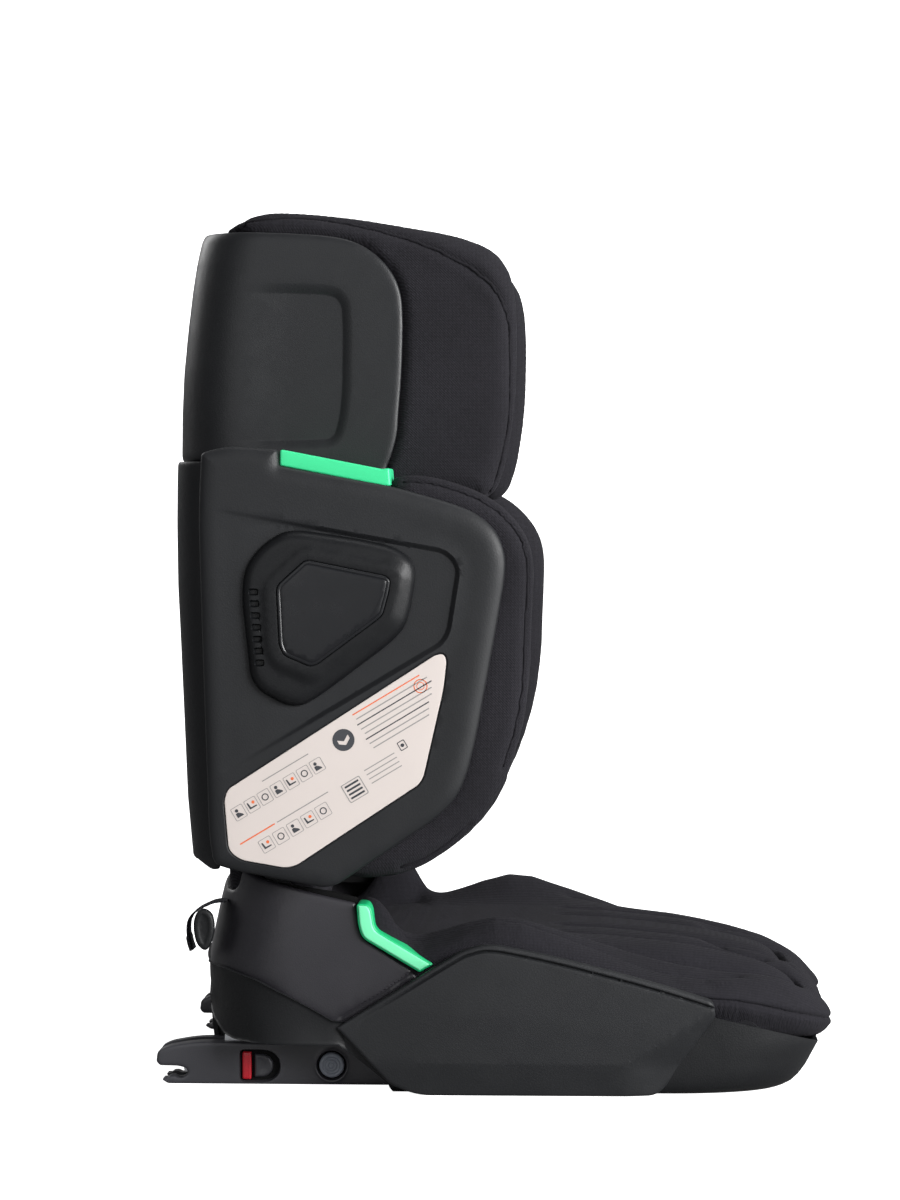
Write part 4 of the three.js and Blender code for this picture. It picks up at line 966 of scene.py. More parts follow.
both("panel_cover", V, F, "base", "panel_black", ["side_panel_{s}"], 26)

# ------------------------------------------------------------------ lower shell, as a wall wrapped round the plan outline, with a floor
LOW = np.array([[0, -241, 178, 187.5, 88], [2, -243, 183, 191.5, 90], [5, -244.5, 188, 194, 90], [10, -246, 193, 195.6, 88], [17, -247, 198, 196.6, 86], [35, -249.5, 207.5, 197.4, 80], [60, -251.5, 212, 197.4, 74], [76, -253.5, 213, 196.4, 72], [100, -253.5, 214, 195, 70]], float)
def low_plan(z, n=26):
    x0, x1, hw, fx = [np.interp(z, LOW[:, 0], LOW[:, k]) for k in (1, 2, 3, 4)]
    rr, fy = 70.0, 56.0
    pts = []
    # from the middle of the back, round the right side (-Y), the front and the left side, to the middle of the back
    for k in range(21):
        y = (hw - rr) * k / 20
        pts.append((x0 + 10 * (y / (hw - rr)) ** 2, -y))
    cx = x0 + 10 + rr
    for k in range(1, n + 1):
        a = math.pi / 2 * k / n
        pts.append((cx - rr * math.cos(a), -(hw - rr) - rr * math.sin(a)))
    xe = x1 - fx
    for k in range(1, 61):
        pts.append((cx + (xe - cx) * k / 60, -hw))
    for k in range(1, n + 1):
        a = math.pi / 2 * k / n
        pts.append((xe + fx * math.sin(a) ** 0.9, -(hw - fy) - fy * max(math.cos(a), 0) ** 0.9))
    for k in range(1, 21):
        y = -(hw - fy) * (1 - k / 20)
        pts.append((x1 + 3.5 * (1 - (y / (hw - fy)) ** 2), y))
    pts = np.array(pts)
    return np.concatenate([pts, (pts * [1, -1])[::-1][1:]])
LZ = np.array([0, 2, 5, 10, 17, 26, 35, 47, 60, 76, 100], float)
LP = np.stack([low_plan(z) for z in LZ])
_ref = low_plan(35)
LS = np.concatenate([[0], np.cumsum(np.linalg.norm(np.diff(_ref, axis=0), axis=1))])
LTOT = LS[-1]
def low_to3(uv, h):
    s_, z = np.clip(uv[:, 0], 0, LTOT), uv[:, 1]
    k = np.interp(s_, LS, np.arange(len(LS)))
    zi = np.interp(z, LZ, np.arange(len(LZ)))
    i0 = np.clip(np.floor(zi).astype(int), 0, len(LZ) - 2); f = zi - i0
    j0 = np.clip(np.floor(k).astype(int), 0, len(LS) - 2); g = k - j0
    def P(i, j): return LP[i, j]
    p = (P(i0, j0) * ((1 - f) * (1 - g))[:, None] + P(i0, j0 + 1) * ((1 - f) * g)[:, None] + P(i0 + 1, j0) * (f * (1 - g))[:, None] + P(i0 + 1, j0 + 1) * (f * g)[:, None])
    t = (P(i0, np.minimum(j0 + 1, len(LS) - 1)) - P(i0, j0))
    t /= np.maximum(np.linalg.norm(t, axis=1), 1e-9)[:, None]
    n = np.stack([t[:, 1], -t[:, 0]], 1)      # outwards while the outline runs back, right, front, left
    n = -n
    return np.stack([p[:, 0] + n[:, 0] * h, p[:, 1] + n[:, 1] * h, z], 1)
def s_at(x=None, y=None, side="right"):
    """Arc length where the reference outline passes a given x on the right side, or a given y across the back."""
    half = len(LS) // 2 + 1
    if x is not None:
        sec = slice(21, 21 + 26 + 60 + 26)
        v = np.interp(x, _ref[sec, 0], LS[sec])
    else:
        v = np.interp(y, -_ref[:24, 1], LS[:24])
    return float(v if side == "right" else LTOT - v)
def shell_top(x):
    return np.interp(x, [-300, -240, -226, -200, -175, -149, -90, 60, 112, 127.5, 139.4, 149.6, 159, 167.6, 175.6, 182.8, 189.1, 194.6, 199.2, 202.8, 205.4, 207, 209, 216],
                     [90, 90, 90, 83, 70, 54, 50, 54.5, 60.5, 57.1, 54.7, 52.5, 50.4, 48.3, 46.2, 44.3, 42.4, 40.6, 38.9, 37.4, 35.9, 34.4, 32.2, 30.4])
half_top = []
for s_, (x, y) in zip(LS, _ref):
    if y <= 0.01 and s_ <= LTOT / 2 + 0.1:
        half_top.append((s_, float(shell_top(x))))
half_top = half_top[::2]
sa = s_at(y=122)                     # the arm bay starts behind, near the corner, and runs forward along the side
sb1, sb2 = s_at(x=-146), s_at(x=-107.5)
ARCH_R = [(0, 65), (30, 64.4), (52, 62), (70, 57), (82, 51), (91, 42), (96, 32), (96, 0.3)]
right_bot = []
for y, z in rp_open([(a, b, 10) for a, b in ARCH_R], 0, 4):
    right_bot.append((s_at(y=y), z))
right_bot += [(sa, 0.3), (sa, 48), (sa + 5, 58), (sa + 14, 64), (sa + 28, 66.5), (s_at(x=-247), 65), (s_at(x=-240), 57.5), (s_at(x=-234), 47), (s_at(x=-228), 40), (s_at(x=-220), 37), (sb1, 36.4), (sb2, 7.5), (sb2 + 3, 0.6)]
right_bot += [(v, 0.6) for v in np.linspace(sb2 + 8, LTOT / 2, 60)]
half = [tuple(q) for q in right_bot] 
low_poly = [(q[0], q[1]) for q in half] + [(LTOT - q[0], q[1]) for q in half[::-1][1:]]
top = half_top + [(LTOT - a, b) for a, b in half_top[::-1][1:]]
low_poly = np.array(low_poly + top[::-1])
low_poly = dense(ccw(low_poly), 4.0)
open_line = low_poly[(low_poly[:, 0] > 0.5) & (low_poly[:, 0] < LTOT - 0.5)]
def low_d(uv):
    a = low_poly; b = np.roll(low_poly, -1, 0)
    closing = ((a[:, 0] < 0.5) & (b[:, 0] < 0.5)) | ((a[:, 0] > LTOT - 0.5) & (b[:, 0] > LTOT - 0.5))
    return segdist(uv, a[~closing], b[~closing])
def h_low(uv):
    d = low_d(uv)
    x_ = low_to3(uv, np.zeros(len(uv)))
    h = -roll(d, 3, 1.6) * ss(uv[:, 1], 2, 8)
    # soft diagonal fold on the rear flank, and a shallow step along the front
    xx, yy, zz = x_[:, 0], np.abs(x_[:, 1]), x_[:, 2]
    fold = (zz - (74 - (xx + 215) * 0.52))
    h -= 2.6 * np.clip(-fold / 26, 0, 1) * ss(yy, 176, 190) * (1 - ss(xx, -150, -120)) * ss(xx, -236, -205)
    h -= 6.0 * (1 - ss(xx, -150, -128))
    h += 0.8 * np.exp(-((zz - (shell_top(xx) - 7)) / 5.0) ** 2) * ss(xx, 120, 150)
    return h
V, F = sheet(low_poly, h_low, const(-4), low_to3, 7.0, (0.3, 0.9, 1.8, 3.0), (), [(a, z) for a in np.arange(s_at(x=100), LTOT - s_at(x=100), 4.5) for z in (3, 5, 7.5, 10.5, 14, 18, 23, 29)])
low = make("lower_shell_wall", V, F, "base", "floor_black", ["base_lower_shell"])
clean(low, 0.00005)
# floor of the shell, with room for the two arms
_right = [(-236, -112), (-54, -112), (-54, -164.5), (-98, -164.5), (-104, -184)] + [q for q in [(-60, -185), (0, -185), (60, -185), (84, -184.6), (110, -181), (132, -173), (150, -160), (163, -143), (171, -122), (175, -90), (176, -40)]]
FLOOR2 = dense(ccw(np.array(_right + [(a, -b) for a, b in _right[::-1]])), 6.0)
V, F = sheet(FLOOR2, const(1.6), const(0.05), lambda uv, h: np.stack([uv[:, 0], uv[:, 1], h], 1), 14.0, (1, 3))
make("lower_shell_floor", V, F, "base", "floor_black")
# dark inner walls of the arm bays, so that the openings read as hollow
def wallplate(name, pts, a0, a1, axis, mat="floor_black", r=2.0):
    P = dense(ccw(rp(pts, r)), 6.0)
    if axis == "y":
        t3 = lambda uv, h: np.stack([uv[:, 0], h, uv[:, 1]], 1)
    elif axis == "x":
        t3 = lambda uv, h: np.stack([h, uv[:, 0], uv[:, 1]], 1)
    else:
        t3 = lambda uv, h: np.stack([uv[:, 0], uv[:, 1], h], 1)
    v, f = sheet(P, lambda uv: a1 - roll(sd(uv, P), 1.2, 0.6) * np.sign(a1 - a0), const(a0), t3, 10.0, (0.3, 0.8, 1.2))
    if axis == "y" and a1 < a0 or axis != "y" and a1 < a0:
        f = [q[::-1] for q in f]
    if axis == "y":
        f = [q[::-1] for q in f]
    return v, f
for sname, sg in (("right", -1), ("left", 1)):
    plates = [wallplate("w", [(-246, 2), (-54, 2), (-54, 68), (-246, 68)], sg * 117.2, sg * 115.2, "y"),
              wallplate("w", [(-216, sg * 116), (-54, sg * 116), (-54, sg * 189), (-216, sg * 187)], 37.6, 39.8, "z"),
              wallplate("w", [(-243, sg * 116), (-214, sg * 116), (-214, sg * 184), (-232, sg * 172), (-243, sg * 150)], 67.4, 69.4, "z"),
              wallplate("w", [(sg * 117, 37.8), (sg * 184, 37.8), (sg * 184, 69), (sg * 117, 69)], -216.0, -213.8, "x"),
              wallplate("w", [(sg * 117, 2), (sg * 190, 2), (sg * 190, 39), (sg * 117, 39)], -55.0, -52.6, "x")]
    VV, Fw, n = [], [], 0
    for v_, f_ in plates:
        VV.append(v_); Fw += [tuple(i_ + n for i_ in q) for q in f_]; n += len(v_)
    o = make("arm_bay_walls_" + sname, np.concatenate(VV), Fw, "base", "floor_black", (), 40)
    clean(o, 0.000001)

# ------------------------------------------------------------------ connector arms
ARM = dense(ccw(rp([(-62, 0.1, 1), (-62, 31.8, 1), (-258, 31.8, 14), (-279, 28.0, 5), (-286.4, 24.4, 3), (-287.3, 16.5, 1.4), (-284.6, 13.5, 1.5), (-270.5, 13.3, 3), (-264.6, 11.6, 3), (-263.4, 8.2, 3), (-266.4, 4.6, 2.5), (-271, 4.3, 1), (-274, 5.7, 0.8), (-277.5, 5.5, 0.8), (-278.7, 4.1, 0.8), (-282.4, 3.9, 1), (-282.4, 2.5, 0.8), (-278, 0.1, 1.4)])), 1.8)
DREC = dense(ccw(rp([(-223.6, 1.9, 3), (-206, 1.9, 3), (-199.4, 3.2, 6), (-194.4, 8.2, 8), (-193.4, 13.8, 6), (-194.4, 19.4, 8), (-199.4, 24.4, 6), (-206, 25.7, 3), (-223.6, 25.7, 3)])), 1.5)
BREC = disc(-154.5, 14.6, 10.9, 40)
def h_arm(uv):
    d = sd(uv, ARM)
    h = 160.0 - roll(d, 3.0, 1.6) * (0.35 + 0.65 * ss(uv[:, 1], 1, 10))
    h -= 5.2 * ss(sd(uv, DREC), -0.6, 0.4)
    h -= 4.6 * ss(sd(uv, BREC), -0.6, 0.4)
    rr = np.hypot(uv[:, 0] + 154.5, uv[:, 1] - 14.6)
    h += 0.5 * np.exp(-((rr - 12.3) / 0.9) ** 2)
    return h
feats = [inset(DREC, o_)[0] for o_ in (-0.6, 0, 0.6)] + [disc(-154.5, 14.6, r_, 40) for r_ in (14, 13.2, 12.3, 11.5, 10.4)]
feats = [q for q in feats]
V, F = sheet(ARM, h_arm, const(146.6), to_side, 5.0, (0.2, 0.7, 1.4, 2.4, 3.6), feats)
V2, F2 = sheet(ARM, lambda uv: -122.0 - roll(sd(uv, ARM), 3.2, 1.8) * -1, const(-133.4), to_side, 7.0, (0.2, 0.7, 1.4, 2.4, 3.2))
# inner half: mirror of an outer plate about the arm's own middle
V2 = V2.copy(); V2[:, 1] = -V2[:, 1]
V2[:, 1] = np.where(V2[:, 1] > 0, V2[:, 1], V2[:, 1])
core = [(-62, 1.4), (-62, 29.6), (-236.5, 29.6), (-236.5, 1.4)]
CORE = dense(ccw(rp(core, 1)), 6.0)
V3, F3 = sheet(CORE, const(147.2), const(132.8), to_side, 20.0, (1,))
V2i, F2i = sheet(ARM, lambda uv: 158.0 - roll(sd(uv, ARM), 3.2, 1.8), const(146.6), to_side, 7.0, (0.2, 0.7, 1.4, 2.4, 3.2))
V2i = V2i.copy(); V2i[:, 1] = -280.0 - V2i[:, 1]
F2i = [q[::-1] for q in F2i]
n1, n2 = len(V), len(V) + len(V2i)
VV = np.concatenate([V, V2i, V3]); FF = list(F) + [tuple(i + n1 for i in q) for q in F2i] + [tuple(i + n2 for i in q) for q in F3]
both("arm_housing", VV, FF, "isofix_arm_{s}", "arm_satin", ["isofix_housing_{s}"])

# near-black floors in the release and button recesses: painted shade in the gaps round the buttons
V, F = sheet(inset(DREC, 0.2)[0], const(155.0), const(154.4), to_side, 8.0, (1,))
V9, F9 = sheet(disc(-154.5, 14.6, 10.7, 40), const(155.6), const(155.0), to_side, 8.0, (1,))
both("arm_recess_shade", np.concatenate([V, V9]), list(F) + [tuple(i_ + len(V) for i_ in q) for q in F9], "isofix_arm_{s}", "shade_black")
IND = dense(ccw(rp([(-222.2, 3.4, 2), (-215.4, 3.4, 1), (-215.4, 24.2, 1), (-222.2, 24.2, 2)])), 1.4)
V, F = sheet(IND, lambda uv: 159.0 - roll(sd(uv, IND), 1.8, 1.2), const(153.5), to_side, 3.0, (0.15, 0.5, 1.0, 1.8))
both("release_indicator", V, F, "isofix_release_{s}", "red", ["isofix_indicator_{s}"])
DBTN = dense(ccw(rp([(-213.0, 5.0, 1), (-206.8, 5.0, 2), (-202.6, 6.4, 4), (-199.6, 9.9, 5), (-198.8, 13.8, 5), (-199.6, 17.7, 5), (-202.6, 21.2, 4), (-206.8, 22.6, 2), (-213.0, 22.6, 1)])), 1.2)
def h_dbtn(uv):
    return 158.6 - roll(sd(uv, DBTN), 2.4, 2.0) - 0.9 * np.exp(-((uv[:, 0] + 207.5) / 4.5) ** 2) * ss(sd(uv, DBTN), 1.5, 5)
V, F = sheet(DBTN, h_dbtn, const(153.0), to_side, 2.4, (0.15, 0.5, 1.0, 1.6, 2.2))
both("release_button", V, F, "isofix_release_{s}", "arm_satin", ["isofix_release_slider_{s}"])
def h_rbtn(uv):
    rr = np.hypot(uv[:, 0] + 154.5, uv[:, 1] - 14.6)
    h = 160.4 - roll(9.4 - rr, 1.8, 1.4)
    for q_ in (2.0, 4.4, 6.6):
        h -= 0.55 * np.exp(-((rr - q_) / 0.5) ** 2)
    return h
rings_ = [disc(-154.5, 14.6, r_, 36) for r_ in (7.4, 7.0, 6.6, 6.2, 5.8, 4.9, 4.4, 3.9, 3.3, 2.5, 2.0, 1.5, 0.8)]
V, F = sheet(disc(-154.5, 14.6, 9.4, 44), h_rbtn, const(153.4), to_side, 3.0, (0.15, 0.5, 1.0, 1.5), rings_)
both("adjust_button", V, F, "isofix_button_{s}", "button_grey", ["isofix_adjust_button_{s}"])

# ------------------------------------------------------------------ pull strap and paddle at the rear corner
path = curve3([(-233, 138.2), (-242.9, 137.1), (-248.9, 134.8), (-255, 131.7), (-260.3, 127.1), (-263, 121.8), (-263.4, 114.2), (-262.3, 106.6), (-260.4, 100.6)], 1.6)
t = np.gradient(path, axis=0); t /= np.linalg.norm(t, axis=1)[:, None]
nn = np.stack([-t[:, 1], t[:, 0]], 1)
ys = np.linspace(-162, -138, 13)
rows = []
for i_, (q, n_) in enumerate(zip(path, nn)):
    hem = 1.0 + (0.9 if i_ > len(path) - 7 else 0.0)
    e_ = 0.35 * math.sin(i_ * 0.9) * 0.2
    loop = []
    for k, y in enumerate(ys):
        w = 0.8 * hem * (0.55 if k in (0, 12) else 1.0)
        loop.append((q[0] + n_[0] * w, y, q[1] + n_[1] * w))
    for k, y in list(enumerate(ys))[::-1]:
        w = 0.8 * hem * (0.55 if k in (0, 12) else 1.0)
        loop.append((q[0] - n_[0] * w, y, q[1] - n_[1] * w))
    rows.append(loop)
V = [q for r_ in rows for q in r_]; m_ = len(rows[0]); F = []
for i_ in range(len(rows) - 1):
    for k in range(m_):
        F.append((i_ * m_ + k, i_ * m_ + (k + 1) % m_, (i_ + 1) * m_ + (k + 1) % m_, (i_ + 1) * m_ + k))
F.append(tuple(range(m_))[::-1]); F.append(tuple((len(rows) - 1) * m_ + k for k in range(m_)))
o = make("pull_strap", V, F, "strap", "webbing", ["release_strap"], 40)
clean(o, 0.00001)
PAD = dense(ccw(rp([(-252.9, 133.4, 4), (-247.8, 133.0, 4), (-243.6, 129.6, 5), (-241.8, 122.7, 8), (-242.2, 114.4, 8), (-244.2, 107.6, 6), (-247.4, 102.2, 3), (-250.8, 102.3, 3), (-255.2, 106.6, 6), (-257.4, 114.4, 8), (-257.8, 123.4, 8), (-255.9, 129.6, 5)])), 1.6)
def h_pad(uv):
    d = sd(uv, PAD)
    return 171.4 - roll(d, 3.0, 2.0) - 0.9 * ss(d, 3.2, 5.0)
V, F = sheet(PAD, h_pad, const(165.5), to_side, 2.6, (0.15, 0.5, 1.0, 1.8, 3.0, 4.0, 5.0))
o = make("strap_paddle", V, F, "strap", "floor_black", ["release_strap_paddle"])

# ------------------------------------------------------------------ headrest pad
_hpr = [(-256, 446), (-44, 440, 8), (-36, 446, 8), (-29, 464, 16), (-24, 491, 20), (-20.8, 520, 20), (-20, 558, 20), (-20.2, 582, 16), (-22.4, 600, 18), (-29, 614.6, 18), (-40, 624.2, 20), (-59, 632, 30), (-86, 638.6, 30), (-114, 644, 30),
         (-142, 648.4, 30), (-170, 651, 30), (-197, 651.8, 30), (-220, 649.4, 16), (-240, 644.4, 10), (-252, 638.0, 8), (-260, 630)]
def grow_head(q):
    # lifts the top of the outline and pushes its nose forward
    x, z = q[0], q[1]
    return (x + float(np.interp(x, [-120, -40], [0, 6.0])), z + float(np.interp(z, [560, 640], [0, 7.0]))) + tuple(q[2:])
HPROF = [grow_head(q) for q in _hpr]
HP = U([[430, -262, 150], [540, -262, 150], [600, -260, 150], [640, -255, 149], [655, -253, 148]], 50, 6)
hp_out = dense(side_outline(HP, HPROF[::-1]), 4.0)
HEAD_EDGE = rp_open([(-252, 641.6), (-189, 640.6, 10), (-161, 638.8, 10), (-144, 636.0, 10), (-130.7, 630.8, 10), (-117.0, 620.6, 8), (-107.0, 607.3, 8), (-102.2, 593, 8), (-101.2, 573, 10), (-102.2, 535.3, 14), (-105.8, 488, 12), (-110.2, 472.8, 8), (-114.7, 462.4, 6), (-114.7, 430)])
HEAD_EDGE = np.array(HEAD_EDGE)
def shell_cover(x, z):
    """Distance inside the headrest shell's edge, seen from the side; positive where the shell covers the pad."""
    poly = np.vstack([HEAD_EDGE, [(-300, 430), (-300, 641.6)]])
    return sd(np.stack([x, z], 1), poly)
def hp_xz(uv):
    x0 = np.interp(uv[:, 1], HP.rows[:, 0], HP.rows[:, 1])
    return x0 + HP.bow + HP.r + (np.abs(uv[:, 0]) - HP.W - HP.A), uv[:, 1]
def hp_cap(d, R):
    t = np.clip(d / R, 0, 1)
    return np.sqrt(np.clip(1 - (1 - t) ** 2, 0, 1))
def hp_thick(uv):
    s_ = np.abs(uv[:, 0]) - HP.W
    side = 49 - 5 * ss(s_, 60, 220)
    return np.where(s_ > HP.A, side, 54 + (side - 54) * ss(s_, 0, HP.A))
def hp_o(uv):
    d = sd(uv, hp_out)
    x, z = hp_xz(uv)
    c = shell_cover(x, z)
    t = hp_thick(uv)
    full = 0.6 - 6.6 * ss(c, -5, 1.5)
    f = hp_cap(d, 7 + 10 * ss(np.abs(uv[:, 0]) - HP.W - HP.A, 0, 60))
    return -t * 0.42 * (1 - f) + full * f
def hp_i(uv):
    d = sd(uv, hp_out)
    t = hp_thick(uv)
    f = hp_cap(d, 22)
    return -t * 0.42 * (1 - f) - t * f
part = sheet(hp_out, hp_o, hp_i, HP.to3, 5.5, (0.2, 1.0, 2.4, 4.5, 7.5, 11.5, 16, 22), (), u_columns(HP, hp_out, np.arange(448, 640, 9), 6))
head_pad = join_parts("headrest_pad", [part])
def head_free(c):
    x, y, z = c[:, 0], np.abs(c[:, 1]), c[:, 2]
    outer = ss(y, 128, 142) * 1.0
    rear = ss(-x, 225, 240)
    cov = shell_cover(x, z)
    covered = np.maximum(outer, rear) * ss(cov, -12, -1)
    m = 5.0 * (1 - covered) + 0.15
    outer_free = outer * (1 - ss(cov, -12, -1))
    return np.where(outer_free > 0.3, np.minimum(m, 2.0), m)
puff(head_pad, 0, head_free, 7.0, smooth=0, shrink=1.0)
# wing seam: it runs round the outer edge of each wing, a little inside the outline
hs_side = np.array(rp_open([(-246, 641), (-228, 649, 10), (-198, 653.4, 30), (-168, 652.6, 30), (-141.6, 648.4, 30), (-112.8, 641.4, 30), (-84, 631.6, 30), (-55.5, 617.5, 24), (-36.5, 604, 18), (-25.5, 589, 18), (-20.6, 573, 16), (-19.4, 538.9, 20), (-20.4, 500.4, 20), (-25.6, 472.7, 16), (-32.5, 449, 6), (-37, 444)]))
SEAMS_HEAD = {}
for sname, sg in (("right", -1), ("left", 1)):
    line = np.array([(x, sg * 152.0, z) for x, z in hs_side])
    line = curve3(line, 2.0)
    line = onto(head_pad, line, 0.0, (0.0, -sg * 1.0, 0.0))
    SEAMS_HEAD[sname] = line
# inner seams: where the wing's inside meets the back of the headrest, and across the middle
inner = []
for sg in (-1, 1):
    inner.append(onto(head_pad, curve3([(-100, sg * 92, 644), (-172, sg * 92, 600), (-176, sg * 90, 540), (-172, sg * 92, 480), (-150, sg * 94, 440)], 2.5), 0.0))
cross = [onto(head_pad, curve3([(-60, y, zz) for y in np.linspace(-84, 84, 24)], 3), 0.0, (-1, 0, 0)) for zz in (498, 590)]
groove(head_pad, [SEAMS_HEAD["right"], SEAMS_HEAD["left"]], 2.2, 2.2, 0.5, 8)
groove(head_pad, inner, 2.4, 3.2, 0.6, 10)
groove(head_pad, cross, 3.6, 4.2, 1.0, 12)
finish_soft(head_pad, "headrest", "knit_black", ["headrest_cushion"])
for sname in ("right", "left"):
    l = onto(head_pad, SEAMS_HEAD[sname], 0.25)
    tube("headrest_piping_" + sname, l[::2], 1.15, "headrest", "piping", 8)

# ------------------------------------------------------------------ backrest pad: two wings and the middle
WTOP = [(-235, 176, 4), (-235, 466, 6), (-206, 470, 6), (-191.8, 470, 2), (-191.2, 462.6, 2), (-150, 454.6, 2), (-108, 447.0, 1), (-106.6, 463.6, 4), (-92.8, 464.6, 8), (-78.8, 463.1, 14), (-60, 458, 16), (-41.2, 450.5, 16), (-27, 442, 16), (-15.8, 431.3, 16), (-6.4, 418.2, 16), (-1.2, 404.1, 16), (0.3, 390, 20),
        (-0.2, 371.3, 20), (-2.6, 337.3, 20), (-4.6, 298.9, 20), (-11.6, 264.8, 20), (-18.2, 245.9, 20), (-24.7, 228.9, 20), (-32.2, 213.7, 18), (-45.5, 196.5, 18), (-68.1, 177, 18), (-87.9, 164, 16), (-104, 156.4, 14), (-120, 154.4, 10), (-150, 156, 10)]
def grow_wing(q):
    k = float(np.interp(q[1], [156, 180, 260, 400, 440, 465], [7.2, 8.2, 6.4, 4.0, 2.8, 1.6])) * float(np.interp(q[0], [-112, -92], [0, 1]))
    return (q[0] + k, q[1] - 0.25 * k * float(np.interp(q[1], [170, 220], [1, 0]))) + tuple(q[2:])
WTOP = [grow_wing(q) for q in WTOP]
wing_out = dense(ccw(rp(WTOP)), 4.0)
def wing_o(uv):
    d = sd(uv, wing_out)
    f = hp_cap(d, 15)
    return 178 + (196.3 - 178) * f
def wing_i(uv):
    d = sd(uv, wing_out)
    x = uv[:, 0]
    inn = np.interp(x, [-235, -176, -150, -60, -14, 5], [128, 130, 141, 152, 156, 158])
    f = hp_cap(d, 24)
    return 178 + (inn - 178) * f
vw, fw = sheet(wing_out, wing_o, wing_i, to_side, 7.0, (0.2, 1.0, 2.4, 4.5, 7.5, 11.5, 16, 23))
vw2 = vw * np.array([1, -1, 1]); fw2 = [q[::-1] for q in fw]
mid_out = dense(ccw(rp([(-158, 128, 30), (158, 128, 30), (160, 300, 40), (158, 436, 30), (-158, 436, 30), (-160, 300, 40)])), 5.0)
def to_front(uv, h):
    return np.stack([h, uv[:, 0], uv[:, 1]], 1)
def mid_f(uv):
    y, z = np.abs(uv[:, 0]), uv[:, 1]
    d = sd(uv, mid_out)
    front = np.interp(z, [118, 150, 190, 240, 300, 360, 440], [-176, -178, -183, -186.5, -188, -189.5, -191])
    front = front + 14 * ss(y, 96, 150) ** 1.4
    return -214 + (front + 214) * hp_cap(d, 20)
def mid_b(uv):
    d = sd(uv, mid_out)
    return -214 - 20 * hp_cap(d, 16)
vm, fm = sheet(mid_out, mid_f, mid_b, to_front, 8.0, (0.2, 1.2, 3, 6, 10, 15, 20))
# the tail that tucks down behind the seat
tail_out = dense(ccw(rp([(-132, 100, 12), (132, 100, 12), (136, 150, 10), (132, 190, 10), (-132, 190, 10), (-136, 150, 10)])), 5.0)
vt, ft = sheet(tail_out, lambda uv: -206 + 30 * hp_cap(sd(uv, tail_out), 14), lambda uv: -206 - 22 * hp_cap(sd(uv, tail_out), 12), to_front, 8.0, (0.2, 1.2, 3, 6, 10, 14))
back_pad = join_parts("backrest_pad", [(vw, fw), (vw2, fw2), (vm, fm), (vt, ft)])
SHIELD_COVER = shield
def back_free(c):
    x, y, z = c[:, 0], np.abs(c[:, 1]), c[:, 2]
    outer = ss(y, 184, 193)
    cov = sd(np.stack([x, z], 1), SHIELD_COVER)
    covered = outer * ss(cov, -6, 0)
    rear = ss(-x, 226, 233)
    top = ss(z, 440, 452) * ss(-x, 100, 110)          # under the mint guide and behind the headrest
    chan = ss(z, 424, 434) * (1 - ss(y, 150, 156))    # the channel the headrest slides in
    low = 1 - ss(z, 140, 170)
    m = 6.5 * (1 - np.max([covered, rear, top, chan * 0.8, low * 0.75], axis=0)) + 0.1
    return np.where(outer * (1 - ss(cov, -6, 0)) > 0.3, np.minimum(m, 2.2), m)
def back_pre(o):
    # the points are read and set back unchanged: no room is cleared here for the headrest or the lower joint
    c = coords(o) / MM
    x, y, z = c[:, 0], c[:, 1], c[:, 2]
    setco(o, c * MM)
puff(back_pad, 4.6, back_free, 7.0, smooth=6, pre=back_pre, shrink=1.8)
wseam = np.array(rp_open([(-104, 460), (-92, 460.4, 6), (-78, 458, 14), (-60, 453, 16), (-42, 445.2, 16), (-29, 437.4, 16), (-19.4, 427.6, 16), (-11, 415.6, 16), (-6.6, 402.6, 16), (-5.2, 390, 20), (-5.8, 371, 20), (-8.2, 337, 20), (-10.2, 299.6, 20), (-17, 266, 20), (-24, 246.5, 20), (-31, 230, 20), (-38.6, 215.6, 18), (-51, 199.6, 18), (-72.5, 181, 18), (-92, 168.4, 16), (-106, 161.4, 8), (-118, 159)]))
wseam = np.array([grow_wing(tuple(q)) for q in wseam])
SEAMS_BACK = {}
for sname, sg in (("right", -1), ("left", 1)):
    line = curve3(np.array([(x, sg * 200.0, z) for x, z in wseam]), 2.0)
    SEAMS_BACK[sname] = onto(back_pad, line, 0.0, (0.0, -sg * 1.0, 0.0))
groove(back_pad, [SEAMS_BACK["right"], SEAMS_BACK["left"]], 1.8, 2.0, 0.4, 8)
chan = []
for sg in (-1, 1):
    chan.append(onto(back_pad, curve3([(-120, sg * 118, 430), (-120, sg * 112, 360), (-120, sg * 104, 280), (-120, sg * 100, 200), (-120, sg * 98, 140)], 2.5), 0.0, (-1, 0, 0)))
for zz in (206, 268, 330, 392):
    chan.append(onto(back_pad, curve3([(-120, y, zz - 10 * (abs(y) / 100) ** 2) for y in np.linspace(-98, 98, 22)], 3), 0.0, (-1, 0, 0)))
groove(back_pad, chan, 4.2, 4.6, 1.6, 14)
finish_soft(back_pad, "backrest", "knit_black", ["backrest_cushion"])
for sname in ("right", "left"):
    tube("backrest_piping_" + sname, onto(back_pad, SEAMS_BACK[sname], 0.2)[::2], 1.05, "backrest", "piping", 8)

